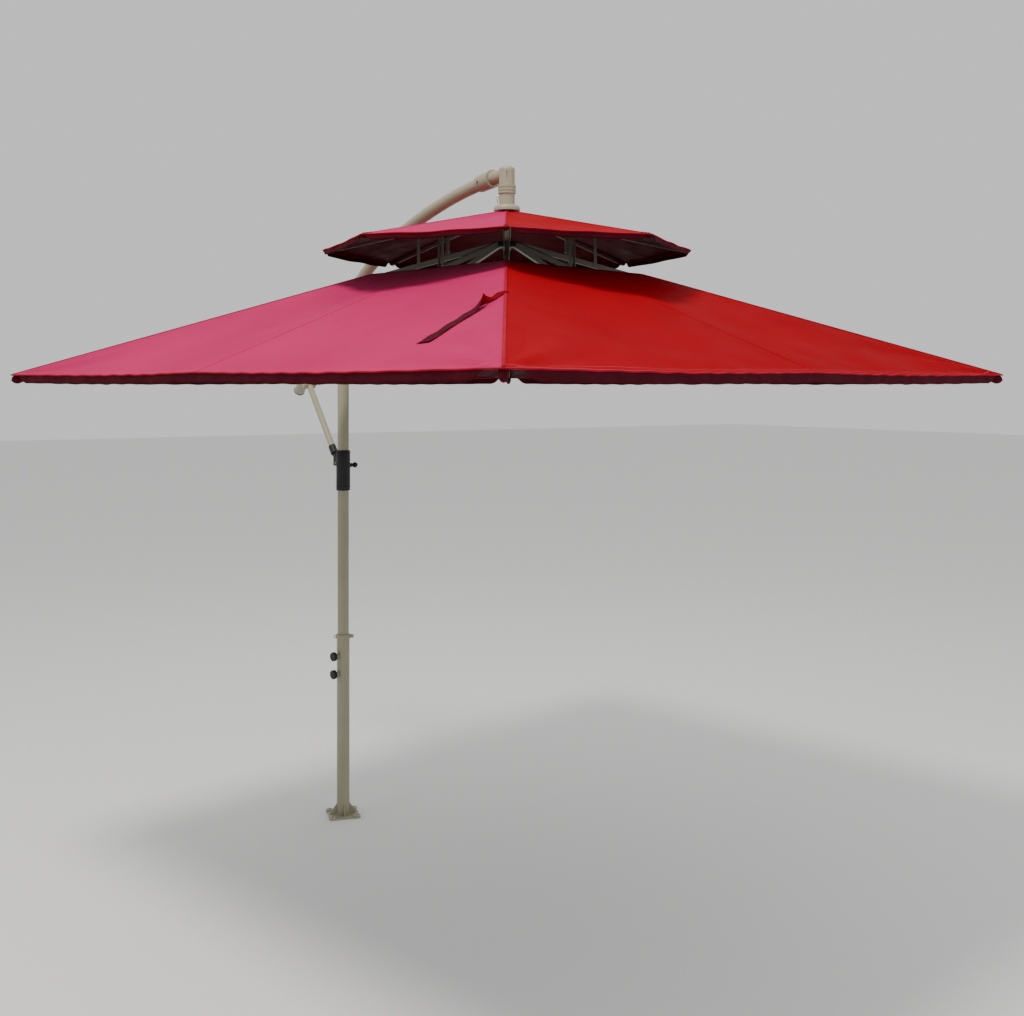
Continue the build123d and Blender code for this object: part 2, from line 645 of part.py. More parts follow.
def head_bolts():
    x = BOOM_END[0] - SOCKET_LENGTH * 0.6
    z = BOOM_END[1] - SOCKET_LENGTH * 0.6 * tan(radians(END_ANGLE))
    bolts = []
    for way in (0, 180):
        head = Pos(x, 0, z) * Rot(0, 0, way) * Pos(0, SOCKET_R - 2, 0) * Rot(-90, 0, 0)
        bolts.append(head * Pos(0, 0, 5) * Cylinder(6, 6))
    ring_z = (NECK_TOP_Z + CAP_TOP_Z) / 2
    pin = rod((NECK_R + 0.3, ring_z + 8), (NECK_R + 10, ring_z + 8), NECK_PIN_R)
    ring = Pos(NECK_R + 6, 0, ring_z + 8 - RING_R) * Rot(0, 90, 0) * Torus(RING_R, RING_WIRE_R)
    bolts.append(Pos(HUB_X, 0, 0) * Rot(0, 0, RING_TURN) * (pin + ring))
    return bolts


def neck_collar():
    body = upright(NECK_COLLAR_R, NECK_TOP_Z, COLLAR_TOP_Z, HUB_X)
    for share in (0.3, 0.7):
        z = NECK_TOP_Z + NECK_COLLAR_HEIGHT * share
        groove = upright(NECK_COLLAR_R + 1, z - 1.5, z + 1.5, HUB_X)
        body -= groove - upright(NECK_COLLAR_R - NECK_GROOVE, z - 2, z + 2, HUB_X)
    return body - upright(CENTRE_R + SEAT_GAP, NECK_TOP_Z - 1, COLLAR_TOP_Z + 1, HUB_X)


def neck_tube():
    body = upright(NECK_R, CAP_TOP_Z, NECK_TOP_Z, HUB_X)
    return body - upright(CENTRE_R + SEAT_GAP, CAP_TOP_Z - 1, NECK_TOP_Z + 1, HUB_X)


def finial_cap():
    body = upright(CAP_DISC_R, CAP_FOOT_Z, CAP_TOP_Z, HUB_X)
    body = fillet(body.edges().filter_by(GeomType.CIRCLE).sort_by(Axis.Z)[-1], CAP_DISC_HEIGHT * 0.7)
    return body - upright(CENTRE_R + SEAT_GAP, CAP_FOOT_Z - 1, CAP_TOP_Z + 1, HUB_X)


def centre_tube():
    low = HUB_Z - 2 * HUB_HALF
    high = COLLAR_TOP_Z + CENTRE_SINK - 2
    body = upright(CENTRE_R, low, high, HUB_X)
    return body - upright(CENTRE_R - CENTRE_WALL, low - 1, high + 1, HUB_X)


# canopy frame
def notched_hub(z, above, below, half_width, pin_r):
    """Core on the centre tube with eight pairs of ears and a hinge pin in each."""
    body = upright(HUB_CORE_R, z - below, z + above)
    out = HINGE_R + HUB_EAR_OUT
    middle = (HUB_CORE_R - 3 + out) / 2
    inner = half_width + SIDE_GAP
    for i in range(RIB_COUNT):
        ear = plate(middle, z + (above - below) / 2, out - HUB_CORE_R + 3, above + below,
                    inner, inner + HUB_EAR_THICK)
        pair = mirrored(ear) + crosswise(pin_r, inner + HUB_EAR_THICK, HINGE_R, z)
        body += Rot(0, 0, rib_azimuth(i)) * pair
    body -= upright(CENTRE_R + SEAT_GAP, z - below - 1, z + above + 1)
    return Pos(HUB_X, 0, 0) * body


def runner():
    z = RUNNER_PIN[1]
    body = upright(HUB_CORE_R, z - RUNNER_EAR_BELOW, z + RUNNER_EAR_ABOVE)
    out = HINGE_R + HUB_EAR_OUT
    middle = (HUB_CORE_R - 3 + out) / 2
    inner = STRUT_BAR / 2 + SIDE_GAP
    for i in range(RIB_COUNT):
        ear = plate(middle, z + (RUNNER_EAR_ABOVE - RUNNER_EAR_BELOW) / 2, out - HUB_CORE_R + 3,
                    RUNNER_EAR_ABOVE + RUNNER_EAR_BELOW, inner, inner + HUB_EAR_THICK)
        pair = mirrored(ear)
        pair -= slot(STRUT_PIN_R + MOVE_GAP, HINGE_R, z - 2 * RUNNER_EAR_BELOW, z, 2 * inner)
        body += Rot(0, 0, rib_azimuth(i)) * pair
    body -= upright(RUNNER_BORE_R, z - RUNNER_EAR_BELOW - 1, z + RUNNER_EAR_ABOVE + 1)
    return Pos(HUB_X, 0, 0) * body


def rib(kind):
    tip_start = hypot(RIB_TIP[kind][0] - HINGE_R, RIB_TIP[kind][1] - HUB_Z) - TIP_LENGTH
    split = on_rib(kind, tip_start)
    body = bar((HINGE_R, HUB_Z), split, RIB_WIDTH, RIB_HEIGHT, HUB_HALF)
    body -= crosswise(HUB_PIN_R + MOVE_GAP, RIB_WIDTH, HINGE_R, HUB_Z)
    body -= crosswise(LINK_PIN_R + MOVE_GAP, RIB_WIDTH, *link_foot(kind))
    body -= crosswise(STRUT_PIN_R + MOVE_GAP, RIB_WIDTH, *strut_pivot(kind))
    tip = bar(split, RIB_TIP[kind], RIB_WIDTH - 1, RIB_HEIGHT - 1)
    tip = fillet(tip.edges().filter_by(Axis.Y), 4)
    return Compound(children=[*body.solids(), *tip.solids()])


def rib_strut(kind):
    pivot = strut_pivot(kind)
    inner = RIB_WIDTH / 2 + SIDE_GAP
    length = LINKAGE[kind][1]
    side = bar(pivot, RUNNER_PIN, LINK_THICK, STRUT_BAR, FORK_OVERHANG, FORK_LENGTH - length)
    body = mirrored(Pos(0, inner + LINK_THICK / 2, 0) * side)
    body += bar(pivot, RUNNER_PIN, 2 * inner + 1, STRUT_BAR, FORK_BLOCK - FORK_LENGTH, FORK_LENGTH - length)
    body += bar(pivot, RUNNER_PIN, STRUT_BAR, STRUT_BAR, 1 - FORK_LENGTH, BAR_OVERHANG)
    body += crosswise(STRUT_PIN_R, inner + LINK_THICK, *pivot)
    reach = STRUT_BAR / 2 + SIDE_GAP + HUB_EAR_THICK
    return body + crosswise(STRUT_PIN_R, reach, *RUNNER_PIN)


def rib_link(kind):
    x, z = link_foot(kind)
    inner = RIB_WIDTH / 2 + SIDE_GAP
    side = plate(x, z + LINK_LENGTH / 2, 2 * LINK_HALF, LINK_LENGTH, inner, inner + LINK_THICK)
    for end in (z, z + LINK_LENGTH):
        side += Pos(x, inner + LINK_THICK / 2, end) * Rot(90, 0, 0) * Cylinder(LINK_HALF, LINK_THICK)
    body = mirrored(side)
    for end in (z, z + LINK_LENGTH):
        body += crosswise(LINK_PIN_R, inner + LINK_THICK, x, end)
    return body


def upper_rib(kind):
    tip_r = UPPER_R - UPPER_SET_IN
    tip = (tip_r, CROWN_Z - UPPER_SLOPE * (tip_r - HINGE_R))
    body = bar((HINGE_R, CROWN_Z), tip, UPPER_RIB_WIDTH, UPPER_RIB_HEIGHT, CROWN_BELOW)
    x, z = link_foot(kind)
    z += LINK_LENGTH
    spine_z = CROWN_Z - UPPER_SLOPE * (x - HINGE_R)
    body += plate(x, (z + spine_z) / 2, 2 * TAB_R, spine_z - z, -UPPER_RIB_WIDTH / 2, UPPER_RIB_WIDTH / 2)
    body += crosswise(TAB_R, UPPER_RIB_WIDTH / 2, x, z)
    body -= crosswise(LINK_PIN_R + MOVE_GAP, UPPER_RIB_WIDTH, x, z)
    return body - crosswise(CROWN_PIN_R + MOVE_GAP, UPPER_RIB_WIDTH, HINGE_R, CROWN_Z)


# cloth
def ring_face(radius, count, turn, z):
    points = []
    for i in range(count):
        a = radians(turn + 360 / count * i)
        points.append((radius * cos(a), radius * sin(a)))
    return Pos(0, 0, z) * Polygon(*points, align=None)


def cone_shell(radius, count, turn, apex_z, drop, top_r, thick):
    """Straight-sided pyramid shell, open at the foot and cut off at a top radius."""
    top_z = apex_z - drop * top_r / radius
    foot_z = apex_z - drop
    outer = loft([ring_face(radius, count, turn, foot_z), ring_face(top_r, count, turn, top_z)], ruled=True)
    return outer - Pos(0, 0, -thick) * outer


def lower_canopy():
    turn = CANOPY_TURN - 45
    upright_thick = CLOTH * MID_SLANT
    body = cone_shell(CORNER_R, 4, turn, APEX_Z, CANOPY_DROP, VENT_R, upright_thick)
    vent = extrude(ring_face(VENT_R - 1, 4, turn, APEX_Z - CANOPY_DROP), CANOPY_DROP * 2)
    body -= vent
    for i in range(4):
        skirt = Pos(HALF_SIDE - CLOTH / 2 - 1, 0, HEM_Z - VALANCE / 2 + 1)
        skirt = skirt * Box(CLOTH, 2 * (HALF_SIDE - VALANCE_SHORT), VALANCE + 2)
        body += Rot(0, 0, CANOPY_TURN + 90 * i) * skirt
    return Pos(HUB_X, 0, 0) * body


def upper_canopy():
    turn = CANOPY_TURN - 45
    thick = CLOTH * sqrt(1 + UPPER_SLOPE ** 2)
    body = cone_shell(UPPER_R, 8, turn, UPPER_APEX_Z, UPPER_DROP, CROWN_HOLE_R, thick)
    body -= upright(CROWN_HOLE_R, UPPER_APEX_Z - UPPER_DROP, UPPER_APEX_Z + 1)
    return Pos(HUB_X, 0, 0) * body


def tie_strap():
    """Closing strap that lies on the panel beside the front ridge."""
    slope = degrees(atan(MID_SLOPE))
    out = STRAP_R * cos(radians(45))
    strip = Pos(STRAP_LENGTH / 2, 0, 0) * Box(STRAP_LENGTH, STRAP_WIDTH, STRAP_THICK)
    strip = Pos(STRAP_WIDTH, out, STRAP_GAP + STRAP_THICK / 2) * Rot(0, 0, STRAP_SWING) * strip
    lean = Pos(out, 0, APEX_Z - MID_SLOPE * out) * Rot(0, slope, 0)
    return Pos(HUB_X, 0, 0) * Rot(0, 0, CANOPY_TURN - 90) * (lean * strip)


def build():
    os.makedirs("parts", exist_ok=True)
    save("base_plate", base_plate())
    save("base_pole", base_pole())
    save("pole_collar", pole_collar())
    save("clamp_knob_upper", clamp_knob(KNOB_ZS[0]))
    save("clamp_knob_lower", clamp_knob(KNOB_ZS[1]))
    save("mast_tube", mast_tube())
    save("mast_foot_bush", mast_foot_bush())
    save("mast_yoke", mast_yoke())
    save("boom_pivot_bolt", through_bolt(PIVOT_BOLT_R, cheek_y() + CHEEK_THICK, *PIVOT))
    save("slider_body", slider_body())
    save("slider_knob", slider_knob())
    save("brace_strut", brace_strut())
    save("strut_fork", strut_fork())
    save("strut_socket", strut_socket())
    save("boom_tube", Compound(children=[*boom_tube().solids(), *[b.solid() for b in boom_bushes()]]))
    save("boom_tail_cap", boom_tail_cap())
    save("elbow_fitting", elbow_fitting())
    save("head_bolts", Compound(children=[s for b in head_bolts() for s in b.solids()]))
    save("neck_collar", neck_collar())
    save("neck_tube", neck_tube())
    save("finial_cap", finial_cap())
    save("centre_tube", centre_tube())
    save("top_crown", notched_hub(CROWN_Z, CROWN_TOP, CROWN_BELOW, UPPER_RIB_WIDTH / 2, CROWN_PIN_R))
    save("main_hub", notched_hub(HUB_Z, HUB_HALF, HUB_HALF, RIB_WIDTH / 2, HUB_PIN_R))
    save("runner", runner())
    save("lower_canopy", lower_canopy())
    save("upper_canopy", upper_canopy())
    save("tie_strap", tie_strap())
    for i in range(RIB_COUNT):
        kind = i % 2
        save(f"rib_{i + 1}", at_rib(i, rib(kind)))
        save(f"rib_strut_{i + 1}", at_rib(i, rib_strut(kind)))
        save(f"rib_link_{i + 1}", at_rib(i, rib_link(kind)))
        save(f"upper_rib_{i + 1}", at_rib(i, upper_rib(kind)))


build()
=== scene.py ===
"""Looks for a side-post patio umbrella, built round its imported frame.

Everything is in metres in the frame's own space: origin under the base plate on the mast axis, +Z up, +X
from the mast to the canopy's hub. The cloth is made in sectors, one for each rib, so that each folds with
its own rib.
"""
import json
import math

import bmesh
import bpy
from bpy.props import FloatProperty, FloatVectorProperty, IntProperty, PointerProperty
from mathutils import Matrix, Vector, noise


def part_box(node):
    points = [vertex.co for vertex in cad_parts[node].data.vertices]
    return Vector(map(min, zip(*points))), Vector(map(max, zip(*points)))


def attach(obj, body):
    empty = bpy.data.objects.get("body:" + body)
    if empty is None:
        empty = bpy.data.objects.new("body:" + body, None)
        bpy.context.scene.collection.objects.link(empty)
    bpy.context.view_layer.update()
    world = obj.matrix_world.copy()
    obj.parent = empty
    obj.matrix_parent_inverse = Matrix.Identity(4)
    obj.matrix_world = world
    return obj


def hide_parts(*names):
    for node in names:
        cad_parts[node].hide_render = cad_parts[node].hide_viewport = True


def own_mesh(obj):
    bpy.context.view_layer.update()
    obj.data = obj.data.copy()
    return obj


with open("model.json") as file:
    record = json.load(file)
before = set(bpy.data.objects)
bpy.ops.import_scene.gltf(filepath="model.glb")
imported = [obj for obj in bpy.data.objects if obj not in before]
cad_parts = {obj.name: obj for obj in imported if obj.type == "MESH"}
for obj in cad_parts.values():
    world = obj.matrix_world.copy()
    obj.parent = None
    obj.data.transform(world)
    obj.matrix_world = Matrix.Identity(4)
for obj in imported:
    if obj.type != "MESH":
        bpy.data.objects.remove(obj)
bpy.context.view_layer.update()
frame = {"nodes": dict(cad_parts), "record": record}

bl_info = {
    "name": "Patio umbrella looks",
    "version": (1, 0, 0),
    "blender": (4, 5, 0),
    "location": "View3D > Sidebar > Umbrella",
    "description": "Canopy cloth, seams, pockets, strap and finishes for a side-post patio umbrella",
    "category": "Object",
}

RIB_COUNT = 8
SECTOR = 2 * math.pi / RIB_COUNT
NUDGE = 1e-7
UP = Vector((0, 0, 1))
# Slot of the red with painted sunlight on the sunny panels.
SUNLIGHT_SLOT = 4
JOINTS = {joint["name"]: joint for joint in frame["record"]["behaviour"]["joints"]}


# ---------------------------------------------------------------- frame facts

def box_centre(node):
    low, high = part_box(node)
    return (Vector(low) + Vector(high)) / 2


HUB = box_centre("centre_tube")


def rib_hinge(index):
    return JOINTS["canopy_fold" if index == 0 else f"rib_hinge_{index + 1}"]


def rib_azimuth(index):
    """Direction of a rib from the hub, from its hinge's axis."""
    axis = rib_hinge(index)["axis"]
    return math.atan2(-axis[0], axis[1])


def fixed_height(node):
    """Height of the point of a cloth that the hub holds."""
    for entry in rib_hinge(0)["deforming_nodes"]:
        if entry["node"] == node:
            return entry["fixed_end_z_m"]
    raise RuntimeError(f"{node} isn't declared as deforming")


def is_corner(index):
    return index % 2 == 0


def wrapped(angle):
    return (angle + math.pi) % (2 * math.pi) - math.pi


class Tier:
    """Straight-sided pyramid of cloth: its apex, rim and opening, taken from the frame."""

    def __init__(self, node, sides, skirt):
        low, high = (Vector(corner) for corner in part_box(node))
        self.sides = sides
        self.half_turn = math.pi / sides
        first = rib_azimuth(0)
        step = 2 * math.pi / sides
        widest = max(abs(math.cos(first + step * i)) for i in range(sides))
        self.reach = (high.x - low.x) / 2 / widest
        self.apothem = self.reach * math.cos(self.half_turn)
        self.apex = fixed_height(node)
        self.rim = low.z + skirt
        self.slope = (self.apex - self.rim) / self.apothem
        self.top = high.z
        self.mids = [first + step * (i + 0.5) for i in range(sides)]

    def panel_angle(self, azimuth):
        """Angle from the middle of the panel that holds an azimuth, and that panel's number."""
        best = min(range(self.sides), key=lambda i: abs(wrapped(azimuth - self.mids[i])))
        return wrapped(azimuth - self.mids[best]), best

    def column(self, index, place):
        """Azimuth, panel angle and panel of a column of a rib's sector, placed from -1 to 1 across it."""
        azimuth = rib_azimuth(index) + place * SECTOR / 2
        return (azimuth, *self.panel_angle(azimuth + math.copysign(NUDGE, place)))


# ---------------------------------------------------------------- settings

def length(name, description, default):
    return FloatProperty(name=name, description=description, default=default,
                         unit="LENGTH", subtype="DISTANCE")


def angle_from(name, description, degrees):
    return FloatProperty(name=name, description=description, default=math.radians(degrees), subtype="ANGLE")


def colour(name, description, default):
    return FloatVectorProperty(name=name, description=description, default=default, size=3,
                               min=0, max=1, subtype="COLOR")


class ClothSettings(bpy.types.PropertyGroup):
    thickness: length("Cloth thickness", "Thickness of the canopy cloth", 0.0014)
    valance: length("Valance", "Depth of the strip that hangs below the lower hem", 0.030)
    valance_short: length("Valance gap", "How far from a corner the valance starts", 0.060)
    valance_cut: length("Valance cut", "Length of the slanted end of the valance", 0.045)
    top_valance: length("Top valance", "Depth of the strip that hangs below the upper hem", 0.020)
    top_short: length("Top valance gap", "How far from a point of the upper hem its strip starts", 0.012)
    sag: length("Panel sag", "How far a panel sinks between two ribs", 0.012)
    top_sag: length("Top panel sag", "How far an upper panel sinks between two ribs", 0.009)
    corner_fold: length("Corner folds", "Height of the pulled folds that run into each corner", 0.0070)
    corner_fold_reach: length("Corner fold reach", "How far the pulled folds run from a corner", 0.78)
    wrinkle: length("Wrinkles", "Height of the loose wrinkles in the cloth", 0.0026)
    hem: length("Hem width", "Width of the rolled edge of the lower hem", 0.006)
    hem_height: length("Hem height", "Height of the rolled edge of the lower hem", 0.005)
    top_hem: length("Top hem width", "Width of the rolled edge of the upper hem", 0.005)
    top_hem_height: length("Top hem height", "Height of the rolled edge of the upper hem", 0.0045)
    pocket: length("Pocket width", "Width of the pocket on a main rib's tip", 0.024)
    pocket_height: length("Pocket height", "Height of the pocket on a main rib's tip", 0.034)
    top_pocket: length("Top pocket width", "Width of the pocket on an upper rib's tip", 0.016)
    top_pocket_height: length("Top pocket height", "Height of the pocket on an upper rib's tip", 0.018)
    rise: length("Cloth rise", "How far the cloth lies above the middle of its room over the ribs", 0.0004)
    seam: length("Seam width", "Width of the folded seam over each rib", 0.009)
    welt: length("Welt height", "How far a corner seam stands above the cloth", 0.0012)
    strap_width: length("Strap width", "Width of the closing strap", 0.038)
    strap_start: length("Strap place", "Where the strap is sewn to the front ridge, from the hub", 0.955)
    strap_run: length("Strap run", "How far the strap reaches over the ground", 0.385)
    across: IntProperty(name="Columns", description="Columns of cloth on each side of a rib", default=34)
    along: IntProperty(name="Rows", description="Rows of cloth from the opening to the hem", default=84)


class CanopyColours(bpy.types.PropertyGroup):
    red: colour("Canopy red", "Colour of the cloth", (0.285, 0.0015, 0.007))
    # Painted sunlight: a lighter, pinker red that stands in for the sun and sheen on the panels facing the
    # key light.
    painted_sunlight: colour("Faded red", "Colour of the cloth on the panels in the sun", (0.42, 0.012, 0.090))
    # Near-black red for the cloth's underside: painted shade for the shadow under the canopy.
    under: colour("Underside", "Colour of the cloth's coated underside", (0.055, 0.003, 0.008))
    # Near-black red for the valance, pockets and strap back: painted shade for the shadow these parts lie in.
    trim: colour("Trim", "Colour of the valance and pockets", (0.060, 0.003, 0.009))
    seam: colour("Seams", "Colour of the folded seams", (0.33, 0.006, 0.022))
    thread: colour("Thread", "Colour of the stitching", (0.52, 0.06, 0.10))


class FrameColours(bpy.types.PropertyGroup):
    powder: colour("Powder coat", "Colour of the mast, boom and base", (0.31, 0.29, 0.195))
    # Dark bronze for the ribs and struts: real paint, made darker as painted shade for the shadow under the
    # canopy.
    ribs: colour("Rib paint", "Colour of the ribs and struts", (0.085, 0.078, 0.060))
    black: colour("Black plastic", "Colour of the knobs, slider and hubs", (0.012, 0.012, 0.013))
    grey: colour("Grey plastic", "Colour of the boom's tail cap", (0.13, 0.14, 0.14))
    steel: colour("Steel", "Colour of the bolts", (0.52, 0.51, 0.48))


class StageSettings(bpy.types.PropertyGroup):
    focal: FloatProperty(name="Focal length", description="Lens of the camera in millimetres", default=43.1)
    distance: length("Camera distance", "From the camera to the hub's axis", 4.37)
    height: length("Camera height", "Height of the camera above the ground", 1.93)
    azimuth: angle_from("Camera azimuth", "Direction that the camera looks from", -33)
    side: length("Camera side step", "Step of the camera to its right", 0.018)
    key_azimuth: angle_from("Key azimuth", "Direction that the key light comes from", -66)
    key_rise: angle_from("Key elevation", "Height of the key light as an angle", 60)
    key_power: FloatProperty(name="Key power", description="Power of the key light in watts", default=380)
    fill_power: FloatProperty(name="Fill power", description="Power of the fill light in watts", default=70)
    back_power: FloatProperty(name="Back power", description="Power of the back light in watts", default=25)
    sky: FloatProperty(name="Studio light", description="Strength of the even light all round",
                       default=0.75)
    drop: FloatProperty(name="View shift", description="Vertical shift of the lens", default=-0.120)
    floor: colour("Floor", "Colour of the floor", (0.80, 0.80, 0.79))


# ---------------------------------------------------------------- node helpers

class Nodes:
    """A material's node tree with short calls for the nodes used here."""

    def __init__(self, name, base, roughness, **sockets):
        self.material = bpy.data.materials.new(name)
        self.material.use_nodes = True
        self.tree = self.material.node_tree
        self.shader = self.tree.nodes["Principled BSDF"]
        self.shader.inputs["Base Color"].default_value = (*base, 1)
        self.shader.inputs["Roughness"].default_value = roughness
        for key, value in sockets.items():
            self.shader.inputs[key.replace("_", " ")].default_value = value
        self.place = self.add("ShaderNodeTexCoord").outputs["Object"]

    def add(self, kind, **values):
        node = self.tree.nodes.new(kind)
        for key, value in values.items():
            setattr(node, key, value)
        return node

    def link(self, source, target):
        self.tree.links.new(source, target)

    def noise(self, scale, detail=3.0, roughness=0.5, place=None):
        node = self.add("ShaderNodeTexNoise")
        node.inputs["Scale"].default_value = scale
        node.inputs["Detail"].default_value = detail
        node.inputs["Roughness"].default_value = roughness
        self.link(place or self.place, node.inputs["Vector"])
        return node.outputs["Fac"]

    def stretch(self, scale):
        node = self.add("ShaderNodeMapping")
        node.inputs["Scale"].default_value = scale
        self.link(self.place, node.inputs["Vector"])
        return node.outputs["Vector"]

    def weave(self, threads):
        """Height of a plain weave: two crossed sets of threads."""
        heights = []
        for direction in ("X", "Y"):
            node = self.add("ShaderNodeTexWave", bands_direction=direction)
            node.inputs["Scale"].default_value = threads
            node.inputs["Distortion"].default_value = 0.6
            node.inputs["Detail Scale"].default_value = 2.0
            self.link(self.place, node.inputs["Vector"])
            heights.append(node.outputs["Fac"])
        return self.math("MAXIMUM", *heights)

    def math(self, operation, *values):
        node = self.add("ShaderNodeMath", operation=operation)
        for slot, value in enumerate(values):
            if isinstance(value, (int, float)):
                node.inputs[slot].default_value = value
            else:
                self.link(value, node.inputs[slot])
        return node.outputs[0]

    def attribute(self, name):
        return self.add("ShaderNodeAttribute", attribute_name=name).outputs["Fac"]

    def ramp(self, factor, stops):
        node = self.add("ShaderNodeValToRGB")
        ramp = node.color_ramp
        while len(ramp.elements) < len(stops):
            ramp.elements.new(0.5)
        for element, (position, value) in zip(ramp.elements, stops):
            element.position = position
            element.color = (*value, 1)
        self.link(factor, node.inputs["Fac"])
        return node.outputs["Color"]

    def grey_ramp(self, factor, low, high, low_at=0.35, high_at=0.65):
        return self.ramp(factor, ((low_at, (low,) * 3), (high_at, (high,) * 3)))

    def mix(self, factor, first, second):
        node = self.add("ShaderNodeMix", data_type="RGBA")
        for key, value in (("Factor", factor), ("A", first), ("B", second)):
            slot = next(s for s in node.inputs if s.name == key and s.type in ("RGBA", "VALUE") and
                        (s.type == "VALUE") == (key == "Factor"))
            if isinstance(value, bpy.types.NodeSocket):
                self.link(value, slot)
            else:
                slot.default_value = value if key == "Factor" else (*value, 1)
        return next(s for s in node.outputs if s.type == "RGBA")

    def colour(self, socket):
        self.link(socket, self.shader.inputs["Base Color"])

    def roughness(self, socket):
        self.link(socket, self.shader.inputs["Roughness"])

    def bump(self, *layers):
        """Stacked bumps, each (height, strength, distance)."""
        normal = None
        for height, strength, distance in layers:
            node = self.add("ShaderNodeBump")
            node.inputs["Strength"].default_value = strength
            node.inputs["Distance"].default_value = distance
            self.link(height, node.inputs["Height"])
            if normal:
                self.link(normal, node.inputs["Normal"])
            normal = node.outputs["Normal"]
        self.link(normal, self.shader.inputs["Normal"])


def shade(base, factor):
    return tuple(min(1.0, channel * factor) for channel in base)


# ---------------------------------------------------------------- materials

CANOPY_WEAVE = 420
TAPE_WEAVE = 700
STITCH_ROWS = (0.004, 0.021)
STITCH_HALF_WIDTH = 0.0011
STITCH_PITCH = 900


def canopy_cloth(name, base, thread, sheen=0.0):
    """Woven polyester: weave, slubs, soft colour drift, and two rows of stitches along each hem."""
    n = Nodes(name, base, 0.78, Sheen_Weight=sheen, Sheen_Roughness=0.45, Specular_IOR_Level=0.02)
    n.shader.inputs["Sheen Tint"].default_value = (1.0, 0.62, 0.70, 1)
    drift = n.ramp(n.noise(2.1, 4.0), ((0.30, shade(base, 0.88)), (0.70, shade(base, 1.10))))
    slubs = n.ramp(n.noise(9.0, 6.0, 0.7, n.stretch((40, 6, 6))), ((0.40, shade(base, 0.93)), (0.62, base)))
    cloth = n.mix(0.35, drift, slubs)
    edge = n.attribute("from_hem")
    rows = n.math("MAXIMUM", *(stitch_row(n, edge, distance) for distance in STITCH_ROWS))
    pitch = n.math("MULTIPLY", n.attribute("along_hem"), STITCH_PITCH)
    dashes = n.math("GREATER_THAN", n.math("SINE", pitch), -0.5)
    stitched = n.math("MULTIPLY", rows, dashes)
    n.colour(n.mix(stitched, cloth, thread))
    n.roughness(n.grey_ramp(n.noise(5.0), 0.70, 0.86))
    n.bump((n.weave(CANOPY_WEAVE), 0.22, 0.0004), (n.noise(26, 5.0), 0.20, 0.004), (stitched, 0.6, 0.0006))
    return n.material


def stitch_row(n, edge, distance):
    off = n.math("ABSOLUTE", n.math("SUBTRACT", edge, distance))
    return n.math("LESS_THAN", off, STITCH_HALF_WIDTH)


def coated_cloth(name, base):
    """Coated back of the cloth, darkened as painted shade and a little smoother."""
    n = Nodes(name, base, 0.62, Specular_IOR_Level=0.08)
    n.colour(n.ramp(n.noise(3.0, 5.0), ((0.3, shade(base, 0.8)), (0.7, shade(base, 1.2)))))
    n.roughness(n.grey_ramp(n.noise(14.0), 0.55, 0.72))
    n.bump((n.weave(CANOPY_WEAVE), 0.15, 0.0003), (n.noise(22, 4.0), 0.16, 0.003))
    return n.material


def seam_tape(name, base):
    """Folded seam tape with ribbed threads."""
    n = Nodes(name, base, 0.72, Specular_IOR_Level=0.05)
    n.colour(n.ramp(n.noise(18.0, 4.0), ((0.3, shade(base, 0.82)), (0.7, shade(base, 1.12)))))
    n.roughness(n.grey_ramp(n.noise(30.0), 0.64, 0.80))
    n.bump((n.weave(TAPE_WEAVE), 0.4, 0.0004))
    return n.material


def powder_coat(name, base):
    """Powder coat: fine orange peel, faint speckle and dull handling marks."""
    n = Nodes(name, base, 0.42, Coat_Weight=0.12, Coat_Roughness=0.25)
    fine = n.ramp(n.noise(900.0, 2.0), ((0.42, shade(base, 0.86)), (0.58, shade(base, 1.08))))
    dust = n.ramp(n.noise(6.0, 6.0, 0.65), ((0.35, shade(base, 0.84)), (0.65, shade(base, 1.06))))
    n.colour(n.mix(0.5, fine, dust))
    n.roughness(n.grey_ramp(n.noise(11.0, 6.0), 0.34, 0.54))
    n.bump((n.noise(420.0, 2.0), 0.12, 0.0006), (n.noise(40.0, 3.0), 0.05, 0.002))
    return n.material


def moulded_plastic(name, base, low=0.38, high=0.62):
    """Moulded plastic with a fine spark texture and rubbed patches."""
    n = Nodes(name, base, 0.48, Specular_IOR_Level=0.3)
    n.colour(n.ramp(n.noise(8.0, 5.0), ((0.35, shade(base, 0.8)), (0.7, shade(base, 1.6)))))
    n.roughness(n.grey_ramp(n.noise(24.0, 5.0), low, high))
    n.bump((n.noise(1500.0, 2.0), 0.25, 0.0003))
    return n.material


def zinc_steel(name, base):
    """Zinc-plated steel with short turning marks."""
    n = Nodes(name, base, 0.32, Metallic=0.95)
    marks = n.noise(60.0, 4.0, 0.6, n.stretch((1, 1, 14)))
    n.colour(n.ramp(marks, ((0.3, shade(base, 0.75)), (0.7, shade(base, 1.15)))))
    n.roughness(n.grey_ramp(marks, 0.24, 0.46))
    n.bump((marks, 0.2, 0.0003))
    return n.material


def plain_floor(name, base):
    """Plain matt floor with a faint change of gloss."""
    n = Nodes(name, base, 0.85)
    n.roughness(n.grey_ramp(n.noise(3.0), 0.80, 0.92))
    return n.material


# ---------------------------------------------------------------- cloth shape

def radial(azimuth):
    return Vector((math.cos(azimuth), math.sin(azimuth), 0))


def smooth(value, low, high):
    t = min(1.0, max(0.0, (value - low) / (high - low)))
    return t * t * (3 - 2 * t)


def wrinkle(point, scale, seed):
    return noise.noise(Vector((point.x * scale + seed, point.y * scale - seed, seed * 0.7)))


BROAD_FOLDS = 15
FINE_FOLDS = 47
FINE_FOLD_SHARE = 0.35
FINE_FOLD_REACH = 0.3
VENT_RIPPLE = 0.0016
VENT_RIPPLE_AT = 0.42
VENT_RIPPLE_BAND = 0.07
HEM_GATHER = 0.0012
HEM_GATHER_BAND = 0.035
TOP_GATHER = 0.0009


